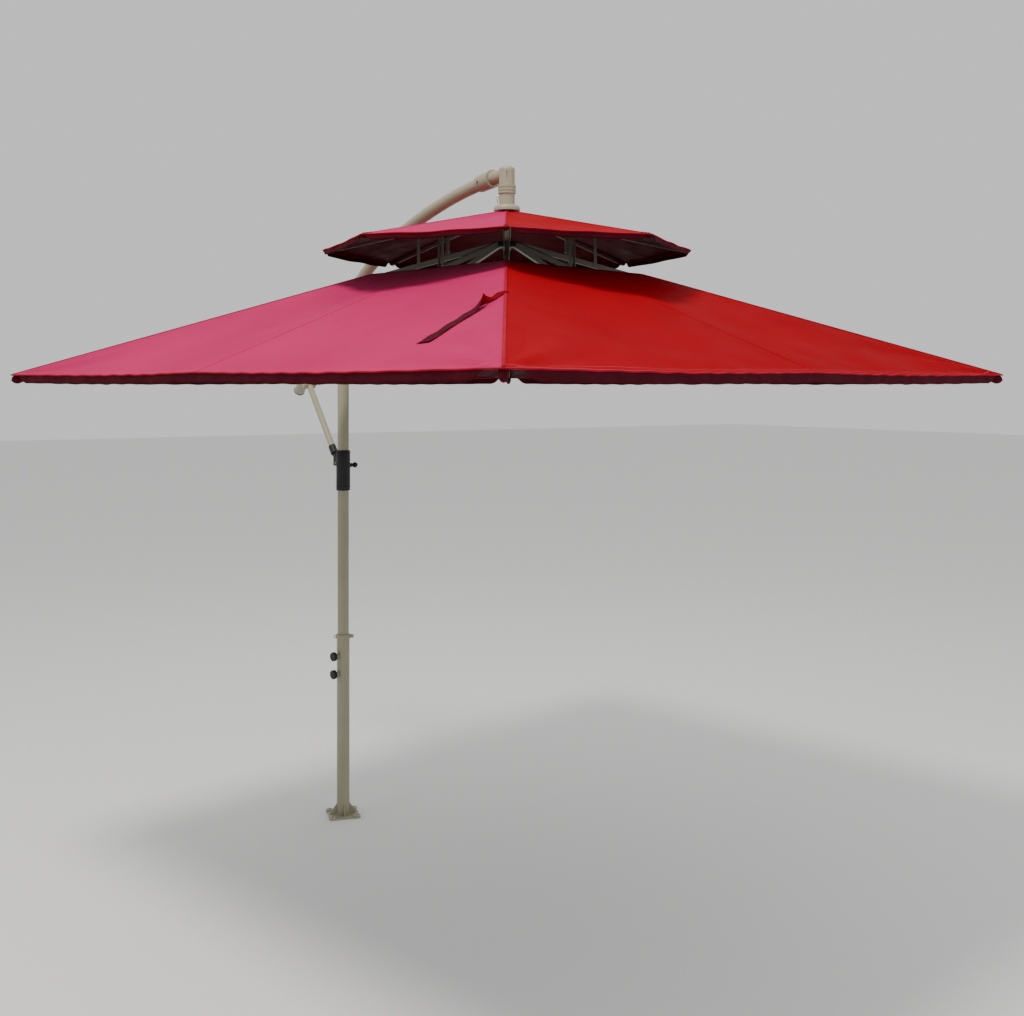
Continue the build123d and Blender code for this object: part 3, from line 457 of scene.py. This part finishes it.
def corner_pull(cloth, place, corner, inward):
    """Folds that fan out of a corner into the two panels beside it."""
    away = place - corner
    away.z = 0
    distance = away.length
    if distance < 1e-4 or distance > cloth.corner_fold_reach * 1.6:
        return 0.0
    fan = wrapped(math.atan2(away.y, away.x) - inward)
    across = abs(fan) / (math.pi / 4)
    fade = math.exp(-(distance / cloth.corner_fold_reach) ** 2 * 2.2) * smooth(distance, 0.0, 0.07)
    aside = smooth(abs(distance * math.sin(fan)), 0.010, 0.055)
    middle = math.sin(min(1.0, across) * math.pi) ** 0.6 * aside
    broad = math.sin(fan * BROAD_FOLDS + 1.1 * math.sin(distance * 7))
    fine = FINE_FOLD_SHARE * math.sin(fan * FINE_FOLDS + 2.3 * math.sin(distance * 11))
    fine *= math.exp(-(distance / FINE_FOLD_REACH) ** 2)
    return cloth.corner_fold * fade * middle * (broad + fine)


def lower_lift(cloth, tier, place, angle, span, panel):
    """How far the lower cloth stands off its flat panel, upwards."""
    quarter = abs(angle) / tier.half_turn
    toward = math.sin(math.pi * min(1.0, quarter))
    held = 1 - 0.55 * smooth(span, 0.75, 1.0)
    lift = -cloth.sag * toward * held * smooth(span, 0.2, 0.6)
    for side in (-1, 1):
        azimuth = tier.mids[panel] + side * tier.half_turn
        corner = HUB + radial(azimuth) * tier.reach
        lift += corner_pull(cloth, place, corner, azimuth + math.pi)
    loose = toward * (1 - 0.7 * smooth(span, 0.55, 1.0))
    lift += cloth.wrinkle * loose * wrinkle(place, 5.5, 3.0 + panel)
    lift += 0.4 * cloth.wrinkle * toward * wrinkle(place, 15.0, 9.0 + panel)
    below_vent = math.exp(-((span - VENT_RIPPLE_AT) / VENT_RIPPLE_BAND) ** 2) * toward ** 0.5
    lift += VENT_RIPPLE * below_vent * math.sin(span * 150 + 3 * wrinkle(place, 4.0, 5.0))
    gather = math.exp(-((1 - span) / HEM_GATHER_BAND) ** 2) * toward
    return lift + HEM_GATHER * gather * math.sin(angle * 90 + panel)


def upper_lift(cloth, tier, place, angle, span, panel):
    """How far the upper cloth stands off its flat panel, upwards."""
    toward = math.cos(math.pi / 2 * min(1.0, abs(angle) / tier.half_turn))
    lift = -cloth.top_sag * toward * math.sin(math.pi * min(1.0, span * 0.9)) ** 0.8
    lift += cloth.wrinkle * 0.9 * toward * wrinkle(place, 9.0, 21.0 + panel)
    return lift + TOP_GATHER * toward * smooth(span, 0.5, 1.0) * math.sin(angle * 20 + panel * 1.7)


def sheet_point(cloth, tier, azimuth, share, inner, lift):
    """A point of the cloth: share 0 at its inner edge and 1 at its hem."""
    angle, panel = tier.panel_angle(azimuth)
    rim = tier.apothem / math.cos(angle)
    start = inner / math.cos(angle)
    reach = start + (rim - start) * share
    place = HUB + radial(azimuth) * reach
    place.z = tier.apex - tier.slope * reach * math.cos(angle)
    span = reach / rim
    place.z += lift(cloth, tier, place, angle, span, panel) - cloth.thickness / 2 + cloth.rise
    return place


def straight(distance, start, run):
    """Share from 0 to 1 that grows evenly over a run."""
    return min(1.0, max(0.0, (distance - start) / run))


def skirt_depth(along, corner_at, depth, short, cut):
    """Depth of a valance at a distance along the hem from the middle of its panel."""
    return depth * straight(corner_at - abs(along), short, cut)


ROW_CROWDING = 1.15
VALANCE_ROWS = 4
VALANCE_WAVE = 0.0016
VALANCE_WAVES = 23


def sector_columns(count):
    """Places across a sector from -1 to 1, closer together beside the rib and where two sectors meet."""
    side = [(1 - math.cos(math.pi * i / count)) / 2 for i in range(1, count + 1)]
    return [-v for v in reversed(side)] + [0.0] + side


def cloth_sector(cloth, tier, index, name, inner, lift, skirt):
    """One rib's share of a tier, with its valance: depth, gap at the corner and slanted end."""
    mesh = bmesh.new()
    edge_layer = mesh.verts.layers.float.new("from_hem")
    along_layer = mesh.verts.layers.float.new("along_hem")
    columns = sector_columns(cloth.across)
    rows = cloth.along
    grid = []
    for column in columns:
        line = []
        azimuth, angle, _ = tier.column(index, column)
        for row in range(rows + 1):
            share = 1 - (1 - row / rows) ** ROW_CROWDING
            place = sheet_point(cloth, tier, azimuth, share, inner, lift)
            vert = mesh.verts.new(place)
            reach = inner + (tier.apothem - inner) * share
            vert[edge_layer] = (tier.apothem - reach) * math.sqrt(1 + tier.slope ** 2)
            vert[along_layer] = tier.apothem * math.tan(angle)
            line.append(vert)
        grid.append(line)
    for left, right in zip(grid, grid[1:]):
        for row in range(rows):
            mesh.faces.new((left[row], left[row + 1], right[row + 1], right[row]))
    add_valance(tier, index, mesh, grid, columns, (edge_layer, along_layer), skirt)
    mesh.normal_update()
    for face in mesh.faces:
        face.smooth = True
    return finished_cloth(mesh, name, cloth.thickness)


def add_valance(tier, index, mesh, grid, columns, layers, skirt):
    """Strip below the hem, cut on a slant beside the corners, in the trim colour darkened as painted shade.
    """
    corner_at = tier.apothem * math.tan(tier.half_turn)
    drops = []
    for column, line in zip(columns, grid):
        _, angle, panel = tier.column(index, column)
        along = tier.apothem * math.tan(angle)
        depth = skirt_depth(along, corner_at, *skirt)
        outward = radial(tier.mids[panel])
        down = [line[-1]]
        for step in range(1, VALANCE_ROWS + 1):
            place = line[-1].co.copy()
            place.z -= depth * step / VALANCE_ROWS
            place += outward * VALANCE_WAVE * math.sin(along * VALANCE_WAVES) * step / VALANCE_ROWS
            vert = mesh.verts.new(place)
            vert[layers[0]] = depth - depth * step / VALANCE_ROWS
            vert[layers[1]] = along
            down.append(vert)
        drops.append((depth, down))
    for (deep_a, a), (deep_b, b) in zip(drops, drops[1:]):
        if deep_a <= 0 and deep_b <= 0:
            continue
        for step in range(VALANCE_ROWS):
            mesh.faces.new((a[step], a[step + 1], b[step + 1], b[step])).material_index = 1
    loose = [v for v in mesh.verts if not v.link_faces]
    bmesh.ops.delete(mesh, geom=loose, context="VERTS")
    bmesh.ops.remove_doubles(mesh, verts=[v for _, line in drops for v in line if v.is_valid], dist=1e-5)


def added(data, name):
    """Object made of a mesh or other data and put in the scene."""
    piece = bpy.data.objects.new(name, data)
    bpy.context.collection.objects.link(piece)
    return piece


def new_piece(mesh, name):
    """Object made of a finished bmesh, which is then freed."""
    data = bpy.data.meshes.new(name)
    mesh.to_mesh(data)
    mesh.free()
    return added(data, name)


def finished_cloth(mesh, name, thickness):
    """Mesh object from a single-layer sheet, thickened inwards with its own underside slots."""
    flat = new_piece(mesh, name + "_flat")
    data = flat.data
    for _ in range(SUNLIGHT_SLOT):
        data.materials.append(None)
    skin = flat.modifiers.new("skin", "SOLIDIFY")
    skin.thickness = thickness
    skin.offset = -1
    skin.use_even_offset = True
    skin.material_offset = 2
    outer = len(data.vertices)
    piece = baked(flat, name)
    for face in piece.data.polygons:
        inside = [vertex >= outer for vertex in face.vertices]
        if any(inside) and not all(inside):
            face.use_smooth = False
    return piece


def baked(source, name):
    """Object with a source's modifiers worked into its mesh; the source is removed."""
    bpy.context.view_layer.update()
    shaped = source.evaluated_get(bpy.context.evaluated_depsgraph_get())
    data = bpy.data.meshes.new_from_object(shaped, preserve_all_data_layers=True,
                                           depsgraph=bpy.context.evaluated_depsgraph_get())
    bpy.data.objects.remove(source)
    data.name = name
    return added(data, name)


def dress(piece, *materials):
    """Fills a piece's material slots in order, adding those it lacks."""
    slots = piece.data.materials
    for place, material in enumerate(materials):
        if place < len(slots):
            slots[place] = material
        else:
            slots.append(material)


def declare_sector(tier, index):
    """Works out the panel angles at a sector's rib and at its edge; they are not used."""
    at_rib, _ = tier.panel_angle(rib_azimuth(index) + NUDGE)
    at_edge, _ = tier.panel_angle(rib_azimuth(index) + SECTOR / 2 - NUDGE)


def fold_with_rib(piece, index, body):
    """The piece rides on its rib's body, with a mesh of its own."""
    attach(piece, f"{body}_{index + 1}")
    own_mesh(piece)


# ---------------------------------------------------------------- swept trims

def swept_strip(name, path, widths, heights, segments=10):
    """Solid oval strip along a path, given its width and height at each point."""
    mesh = bmesh.new()
    rings = []
    for i, place in enumerate(path):
        ahead = path[min(i + 1, len(path) - 1)] - path[max(i - 1, 0)]
        side = ahead.cross(UP).normalized()
        top = side.cross(ahead).normalized()
        ring = []
        for step in range(segments):
            turn = 2 * math.pi * step / segments
            x = math.cos(turn) * widths[i] / 2
            z = math.sin(turn) * heights[i] / 2
            ring.append(mesh.verts.new(place + side * x + top * z))
        rings.append(ring)
    for a, b in zip(rings, rings[1:]):
        for step in range(segments):
            follow = (step + 1) % segments
            mesh.faces.new((a[step], a[follow], b[follow], b[step]))
    mesh.faces.new(reversed(rings[0]))
    mesh.faces.new(rings[-1])
    bmesh.ops.recalc_face_normals(mesh, faces=mesh.faces)
    for face in mesh.faces:
        face.smooth = len(face.verts) == 4
    return new_piece(mesh, name)


SEAM_START = 0.004
SEAM_END = 0.997
SEAM_STEPS = 60
SEAM_STANDS = 0.22
HEM_HANGS = 0.25
SLEEVE_STEPS = 14
SLEEVE_ROUND_AT = 0.72
SLEEVE_LEAST = 0.002


def seam_over_rib(cloth, tier, index, name, inner, lift, width, height):
    """Folded seam on the cloth straight over a rib, fading in at the opening."""
    path = []
    for i in range(SEAM_STEPS + 1):
        share = SEAM_START + (SEAM_END - SEAM_START) * i / SEAM_STEPS
        place = sheet_point(cloth, tier, rib_azimuth(index), share, inner, lift)
        path.append(place + UP * (height * SEAM_STANDS))
    heights = [height * smooth(i, -1, 3) for i in range(len(path))]
    return swept_strip(name, path, [width] * len(path), heights)


def hem_welt(cloth, tier, index, name, inner, lift, width, height):
    """Turned hem: a thicker edge that follows the rim across one sector."""
    path = []
    count = 2 * cloth.across
    for i in range(count + 1):
        across = -1 + 2 * i / count
        place = sheet_point(cloth, tier, rib_azimuth(index) + across * SECTOR / 2, 1.0, inner, lift)
        place.z -= height * HEM_HANGS
        path.append(place)
    return swept_strip(name, path, [width] * len(path), [height] * len(path), 8)


def sleeve(name, start, end, width, height, flare):
    """Small closed pocket that wraps a rib's tip: an oval sleeve with a rounded, gathered end."""
    path, widths, heights = [], [], []
    for i in range(SLEEVE_STEPS + 1):
        t = i / SLEEVE_STEPS
        path.append(start.lerp(end, t))
        close = math.sqrt(max(0.0, 1 - straight(t, SLEEVE_ROUND_AT, 1 - SLEEVE_ROUND_AT) ** 2))
        widths.append(max(SLEEVE_LEAST, width * (1 + flare * (1 - t)) * close))
        heights.append(max(SLEEVE_LEAST, height * (1 + 0.06 * math.sin(t * 19)) * close))
    return swept_strip(name, path, widths, heights, 18)


# ---------------------------------------------------------------- operators

TUBE_CLEARANCE = 0.002
SUNNY_RIB = 7
# Slots: outer cloth, valance (painted shade), underside (painted shade), valance back (painted shade), outer
# cloth with painted sunlight.
SECTOR_FINISHES = ("red_polyester", "dark_trim", "coated_underside", "dark_trim", "faded_polyester")


def lower_tier(cloth):
    return Tier("lower_canopy", 4, cloth.valance)


def upper_tier():
    return Tier("upper_canopy", RIB_COUNT, 0.0)


def lower_inner(tier):
    """Distance of the vent's straight edge from the hub."""
    return (tier.apex - tier.top) / tier.slope


def upper_inner():
    """Distance of the upper cloth's inner edge from the hub's axis, just outside the centre tube."""
    low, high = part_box("centre_tube")
    return (high[0] - low[0]) / 2 + TUBE_CLEARANCE


def in_the_sun(azimuth):
    """Whether a direction from the hub is on the canopy's sunny side, whose cloth gets painted sunlight."""
    return abs(wrapped(azimuth - rib_azimuth(SUNNY_RIB))) < math.pi / 4 - 1e-4


def panel_cloth(index):
    """Cloth of the panels beside a rib: on the sunny side, the red with painted sunlight."""
    return bpy.data.materials["faded_polyester" if in_the_sun(rib_azimuth(index)) else "red_polyester"]


def paint_sunlight_on_panels(piece):
    """Gives the red with painted sunlight, lighter and pinker, to the outer faces on the canopy's sunny side.
    """
    for face in piece.data.polygons:
        if face.material_index:
            continue
        away = face.center - HUB
        if in_the_sun(math.atan2(away.y, away.x)):
            face.material_index = SUNLIGHT_SLOT


def cut_sectors(cloth, tier, names, node, body, inner, lift, skirt):
    for index in range(RIB_COUNT):
        piece = cloth_sector(cloth, tier, index, f"{names}_{index + 1}", inner, lift, skirt)
        dress(piece, *(bpy.data.materials[name] for name in SECTOR_FINISHES))
        paint_sunlight_on_panels(piece)
        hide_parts(node)
        declare_sector(tier, index)
        fold_with_rib(piece, index, body)


class UMBRELLA_OT_lower_canopy(bpy.types.Operator):
    """Builds the square lower canopy with its valance, one sector for each rib"""
    bl_idname = "umbrella.lower_canopy"
    bl_label = "Lower canopy"

    def execute(self, context):
        cloth = context.scene.umbrella_cloth
        colours = context.scene.umbrella_canopy
        tier = lower_tier(cloth)
        # Underside darkened as painted shade.
        coated_cloth("coated_underside", colours.under)
        # Trim darkened as painted shade, for the valance and pockets.
        seam_tape("dark_trim", colours.trim)
        canopy_cloth("red_polyester", colours.red, colours.thread)
        # Red with painted sunlight, for the panels on the sunny side.
        canopy_cloth("faded_polyester", colours.painted_sunlight, colours.thread, 0.06)
        skirt = (cloth.valance, cloth.valance_short, cloth.valance_cut)
        cut_sectors(cloth, tier, "lower_sector", "lower_canopy", "rib", lower_inner(tier), lower_lift, skirt)
        return {"FINISHED"}


class UMBRELLA_OT_upper_canopy(bpy.types.Operator):
    """Builds the eight-sided upper canopy, one sector for each upper rib"""
    bl_idname = "umbrella.upper_canopy"
    bl_label = "Upper canopy"

    def execute(self, context):
        cloth = context.scene.umbrella_cloth
        skirt = (cloth.top_valance, cloth.top_short, cloth.top_valance)
        cut_sectors(cloth, upper_tier(), "upper_sector", "upper_canopy", "top_rib", upper_inner(), upper_lift,
                    skirt)
        return {"FINISHED"}


class UMBRELLA_OT_seams(bpy.types.Operator):
    """Adds the folded seam over each rib and the turned hem along each sector's edge"""
    bl_idname = "umbrella.seams"
    bl_label = "Seams and hems"

    def execute(self, context):
        cloth = context.scene.umbrella_cloth
        tape = seam_tape("seam_tape", context.scene.umbrella_canopy.seam)
        lower = lower_tier(cloth)
        upper = upper_tier()
        below = (lower_inner(lower), lower_lift)
        above = (upper_inner(), upper_lift)
        for index in range(RIB_COUNT):
            number = index + 1
            strong = is_corner(index)
            width = cloth.seam if strong else cloth.seam * 0.6
            height = 2 * cloth.welt if strong else cloth.welt
            seam = seam_over_rib(cloth, lower, index, f"lower_seam_{number}", *below, width, height)
            hem = hem_welt(cloth, lower, index, f"lower_hem_{number}", *below, cloth.hem, cloth.hem_height)
            cap = seam_over_rib(cloth, upper, index, f"upper_seam_{number}", *above, cloth.seam * 0.7,
                                cloth.welt * 1.4)
            edge = hem_welt(cloth, upper, index, f"upper_hem_{number}", *above, cloth.top_hem,
                            cloth.top_hem_height)
            own = panel_cloth(index)
            for piece, material in ((seam, tape if strong else own), (hem, tape), (cap, own), (edge, tape)):
                dress(piece, material)
            for piece in (seam, hem):
                fold_with_rib(piece, index, "rib")
            for piece in (cap, edge):
                fold_with_rib(piece, index, "top_rib")
        return {"FINISHED"}


POCKET_RUN = {True: 0.085, False: 0.075}
POCKET_HANGS = {True: 0.021, False: 0.023}
POCKET_BACK = 0.08
POCKET_END = 0.001
TOP_POCKET_RUN = 0.045
TOP_POCKET_HANGS = 0.006
TOP_POCKET_BACK_HANGS = 0.008


def sew_pocket(name, start, end, width, height, flare, body):
    """Pocket round a rib's tip, in the trim colour darkened as painted shade, on that rib's body."""
    pocket = sleeve(name, start, end, width, height, flare)
    dress(pocket, bpy.data.materials["dark_trim"])
    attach(pocket, body)


class UMBRELLA_OT_pockets(bpy.types.Operator):
    """Adds the sewn pockets that hold the tips of the ribs"""
    bl_idname = "umbrella.pockets"
    bl_label = "Rib pockets"

    def execute(self, context):
        cloth = context.scene.umbrella_cloth
        lower = lower_tier(cloth)
        upper = upper_tier()
        for index in range(RIB_COUNT):
            number = index + 1
            strong = is_corner(index)
            rim = lower.reach if strong else lower.apothem
            out = radial(rib_azimuth(index))
            start = HUB + out * (rim - POCKET_RUN[strong])
            end = HUB + out * (rim - POCKET_END)
            for place, reach in ((start, rim - POCKET_BACK), (end, rim)):
                place.z = lower.apex - (lower.apex - lower.rim) * reach / rim - POCKET_HANGS[strong]
            sew_pocket(f"rib_pocket_{number}", start, end, cloth.pocket, cloth.pocket_height, 0.12,
                       f"rib_{number}")
            tip = HUB + out * (upper.reach - POCKET_END)
            back = HUB + out * (upper.reach - TOP_POCKET_RUN)
            fall = (upper.apex - upper.rim) * TOP_POCKET_RUN / upper.reach
            tip.z = upper.rim - TOP_POCKET_HANGS
            back.z = upper.rim + fall - TOP_POCKET_BACK_HANGS
            sew_pocket(f"upper_pocket_{number}", back, tip, cloth.top_pocket, cloth.top_pocket_height, 0.4,
                       f"top_rib_{number}")
        return {"FINISHED"}


STRAP_THICKNESS = 0.0014
STRAP_STEPS = 90
STRAP_COLUMNS = 8
STRAP_TWIST = (0.10, 0.48)
STRAP_NARROWS = 0.16
STRAP_WANDER = 0.006
STRAP_STANDS = 0.0022
STRAP_RIPPLE = 0.0012


def strap_sheet(cloth, tier, start, run):
    """Single layer of the strap: half a twist from its sewn end, then flat on the panel."""
    inner = lower_inner(tier)
    side = Vector((-run.y, run.x, 0)).normalized()
    width = cloth.strap_width
    mesh = bmesh.new()
    hem = mesh.verts.layers.float.new("from_hem")
    rows = []
    for i in range(STRAP_STEPS + 1):
        t = i / STRAP_STEPS
        turn = math.pi * (1 - smooth(t, *STRAP_TWIST))
        narrow = 1 - STRAP_NARROWS * math.sin(math.pi * smooth(t, 0.0, 0.5))
        middle = start + run * t + side * STRAP_WANDER * math.sin(t * 5)
        row = []
        for j in range(STRAP_COLUMNS + 1):
            across = (j / STRAP_COLUMNS - 0.5) * width * narrow
            flat = middle + side * across * math.cos(turn)
            away = Vector((flat.x, flat.y, 0))
            azimuth = math.atan2(away.y, away.x)
            angle, _ = tier.panel_angle(azimuth)
            share = (away.length * math.cos(angle) - inner) / (tier.apothem - inner)
            place = sheet_point(cloth, tier, azimuth, share, inner, lower_lift)
            place.z += STRAP_STANDS + abs(math.sin(turn)) * width * narrow * 0.5
            place.z += STRAP_RIPPLE * math.sin(t * 31 + j * 0.4) + across * math.sin(turn)
            vert = mesh.verts.new(place)
            vert[hem] = 0.5 * width - abs(j / STRAP_COLUMNS - 0.5) * width
            row.append(vert)
        rows.append(row)
    for a, b in zip(rows, rows[1:]):
        for j in range(STRAP_COLUMNS):
            mesh.faces.new((a[j], a[j + 1], b[j + 1], b[j])).smooth = True
    mesh.normal_update()
    return mesh


class UMBRELLA_OT_strap(bpy.types.Operator):
    """Builds the closing strap: sewn to the front ridge, twisted once, then flat on the panel"""
    bl_idname = "umbrella.strap"
    bl_label = "Tie strap"

    def execute(self, context):
        cloth = context.scene.umbrella_cloth
        colours = context.scene.umbrella_canopy
        tier = lower_tier(cloth)
        middle = box_centre("tie_strap") - HUB
        middle.z = 0
        start = radial(rib_azimuth(0)) * cloth.strap_start
        heading = (middle - start).normalized()
        start += heading * cloth.strap_width * 0.4
        run = heading * cloth.strap_run
        piece = finished_cloth(strap_sheet(cloth, tier, start, run), "tie_strap_cloth", STRAP_THICKNESS)
        # The strap's underside and its stitches take the trim colour darkened as painted shade.
        trim = bpy.data.materials["dark_trim"]
        strap = canopy_cloth("strap_polyester", shade(colours.red, 0.6), colours.trim)
        dress(piece, strap, strap, trim, trim)
        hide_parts("tie_strap")
        fold_with_rib(piece, 0, "rib")
        return {"FINISHED"}


FINISHES = {
    "powder": ("base_plate", "base_pole", "pole_collar", "mast_tube", "mast_yoke", "strut_fork",
               "brace_strut", "boom_tube", "elbow_fitting", "neck_collar", "neck_tube", "finial_cap",
               "centre_tube"),
    "black": ("clamp_knob_upper", "clamp_knob_lower", "mast_foot_bush", "slider_body", "slider_knob",
              "strut_socket", "top_crown", "main_hub", "runner"),
    "grey": ("boom_tail_cap",),
    "steel": ("boom_pivot_bolt", "head_bolts"),
}


class UMBRELLA_OT_frame_finish(bpy.types.Operator):
    """Gives each metal and plastic piece of the frame its finish"""
    bl_idname = "umbrella.frame_finish"
    bl_label = "Frame finishes"

    def execute(self, context):
        colours = context.scene.umbrella_frame
        made = {
            "powder": powder_coat("champagne_powder", colours.powder),
            "black": moulded_plastic("black_moulding", colours.black),
            "grey": moulded_plastic("grey_moulding", colours.grey, 0.45, 0.65),
            "steel": zinc_steel("zinc_steel", colours.steel),
        }
        # Ribs, struts and every other unlisted part: rib paint darkened as painted shade.
        ribs = powder_coat("rib_lacquer", colours.ribs)
        by_node = {node: made[key] for key, nodes in FINISHES.items() for node in nodes}
        for name, node in frame["nodes"].items():
            if node.hide_render:
                continue
            for place in range(max(1, len(node.material_slots))):
                if not node.material_slots:
                    node.data.materials.append(None)
                node.material_slots[place].link = "OBJECT"
                node.material_slots[place].material = by_node.get(name, ribs)
        return {"FINISHED"}


WELD = 0.0028
WELD_STANDS = 0.001
WELD_OUT = 0.0012
WELD_RIPPLE = 0.0006
BAND = 0.0022
BAND_OUT = 0.0002
BAND_UP = 0.018
BAND_DOWN = 0.012
RING_STEPS = 160
RING_SIDES = 10


class UMBRELLA_OT_fittings(bpy.types.Operator):
    """Adds the weld bead at the pole's foot and the slider's two end bands"""
    bl_idname = "umbrella.fittings"
    bl_label = "Small fittings"

    def execute(self, context):
        low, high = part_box("base_pole")
        foot = low[2] + WELD_STANDS
        fit_ring("foot_weld", foot, (high[0] - low[0]) / 2 + WELD_OUT, WELD, WELD_RIPPLE, 34,
                 ("champagne_powder", "champagne_metal", "base"))
        low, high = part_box("slider_body")
        yoke_low, yoke_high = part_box("mast_yoke")
        radius = (yoke_high[0] - yoke_low[0]) / 2 + BAND_OUT
        plastic = ("black_moulding", "black_plastic", "slider")
        fit_ring("slider_band_low", low[2] + BAND_UP, radius, BAND, 0.0, 12, plastic)
        fit_ring("slider_band_high", high[2] - BAND_DOWN, radius, BAND, 0.0, 12, plastic)
        return {"FINISHED"}


def fit_ring(name, height, radius, thickness, ripple, ripples, fitting):
    """Ring round the mast's axis with a finish and a body of its own; the slot named in the fitting is not
    used.
    """
    finish, slot, body = fitting
    ring = ring_bead(name, Vector((0, 0, height)), radius, thickness, ripple, ripples)
    dress(ring, bpy.data.materials[finish])
    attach(ring, body)


def ring_bead(name, centre, radius, thickness, ripple, ripples):
    """Closed ring with a small ripple, as a weld bead or a moulded band."""
    mesh = bmesh.new()
    rings = []
    for i in range(RING_STEPS):
        turn = 2 * math.pi * i / RING_STEPS
        size = thickness + ripple * math.sin(turn * ripples)
        ring = []
        for j in range(RING_SIDES):
            roll = 2 * math.pi * j / RING_SIDES
            reach = radius + size * math.cos(roll)
            rise = Vector((0, 0, size * math.sin(roll)))
            ring.append(mesh.verts.new(centre + radial(turn) * reach + rise))
        rings.append(ring)
    for a, b in zip(rings, rings[1:] + rings[:1]):
        for j in range(RING_SIDES):
            follow = (j + 1) % RING_SIDES
            mesh.faces.new((a[j], b[j], b[follow], a[follow])).smooth = True
    bmesh.ops.recalc_face_normals(mesh, faces=mesh.faces)
    return new_piece(mesh, name)


def area_light(name, place, target, size, power, tint):
    """Round area light aimed at a point."""
    data = bpy.data.lights.new(name, "AREA")
    data.shape = "DISK"
    data.size = size
    data.energy = power
    data.color = tint
    light = added(data, name)
    light.location = place
    light.rotation_euler = (target - place).to_track_quat("-Z", "Y").to_euler()


SENSOR_WIDTH = 36
FLOOR_HALF = 40
LIGHTS_AIM = 2.1
KEY_AWAY = 6
KEY_SIZE = 1.5
SOFT_SIZE = 4


class UMBRELLA_OT_stage(bpy.types.Operator):
    """Sets the floor, the soft studio lights and the camera"""
    bl_idname = "umbrella.stage"
    bl_label = "Stage"

    def execute(self, context):
        stage = context.scene.umbrella_stage
        near = radial(stage.azimuth)
        right = Vector((-near.y, near.x, 0))
        camera = added(bpy.data.cameras.new("camera"), "camera")
        camera.data.lens = stage.focal
        camera.data.sensor_width = SENSOR_WIDTH
        camera.data.shift_y = stage.drop
        camera.data.clip_end = 200
        camera.location = Vector((HUB.x, HUB.y, stage.height)) + near * stage.distance + right * stage.side
        camera.rotation_euler = (-near).to_track_quat("-Z", "Y").to_euler()
        context.scene.camera = camera
        data = bpy.data.meshes.new("floor")
        corners = [(x * FLOOR_HALF, y * FLOOR_HALF, 0) for x, y in ((-1, -1), (1, -1), (1, 1), (-1, 1))]
        data.from_pydata(corners, [], [(0, 1, 2, 3)])
        data.materials.append(plain_floor("floor", stage.floor))
        added(data, "floor")
        aim = Vector((HUB.x, HUB.y, LIGHTS_AIM))
        key = radial(stage.key_azimuth) * math.cos(stage.key_rise) + UP * math.sin(stage.key_rise)
        area_light("key", aim + key * KEY_AWAY, aim, KEY_SIZE, stage.key_power, (1, 0.97, 0.93))
        fill = right * 5 + near * 3.2 + UP * 1.2
        area_light("fill", aim + fill, aim, SOFT_SIZE, stage.fill_power, (0.95, 0.97, 1))
        back = UP * 3.2 - near * 4.5
        area_light("back", aim + back, aim, SOFT_SIZE, stage.back_power, (1, 1, 1))
        world = bpy.data.worlds.new("studio")
        world.use_nodes = True
        sky = world.node_tree.nodes["Background"]
        sky.inputs["Color"].default_value = (1, 1, 1, 1)
        sky.inputs["Strength"].default_value = stage.sky
        context.scene.world = world
        return {"FINISHED"}


class UMBRELLA_PT_panel(bpy.types.Panel):
    """Buttons and settings for the umbrella"""
    bl_idname = "UMBRELLA_PT_panel"
    bl_label = "Umbrella"
    bl_space_type = "VIEW_3D"
    bl_region_type = "UI"
    bl_category = "Umbrella"

    def draw(self, context):
        for operator in OPERATORS:
            self.layout.operator(operator.bl_idname)
        for group in GROUPS:
            settings = getattr(context.scene, group)
            for key in settings.__annotations__:
                self.layout.prop(settings, key)


GROUPS = {
    "umbrella_cloth": ClothSettings,
    "umbrella_canopy": CanopyColours,
    "umbrella_frame": FrameColours,
    "umbrella_stage": StageSettings,
}
OPERATORS = (
    UMBRELLA_OT_stage,
    UMBRELLA_OT_lower_canopy,
    UMBRELLA_OT_upper_canopy,
    UMBRELLA_OT_seams,
    UMBRELLA_OT_pockets,
    UMBRELLA_OT_strap,
    UMBRELLA_OT_frame_finish,
    UMBRELLA_OT_fittings,
)


def register():
    for kind in (*GROUPS.values(), *OPERATORS, UMBRELLA_PT_panel):
        bpy.utils.register_class(kind)
    for name, kind in GROUPS.items():
        setattr(bpy.types.Scene, name, PointerProperty(type=kind))


def unregister():
    for name in GROUPS:
        delattr(bpy.types.Scene, name)
    for kind in reversed((*GROUPS.values(), *OPERATORS, UMBRELLA_PT_panel)):
        bpy.utils.unregister_class(kind)


def main():
    register()
    for operator in OPERATORS:
        getattr(bpy.ops.umbrella, operator.bl_idname.split(".")[1])()


if __name__ == "__main__":
    main()
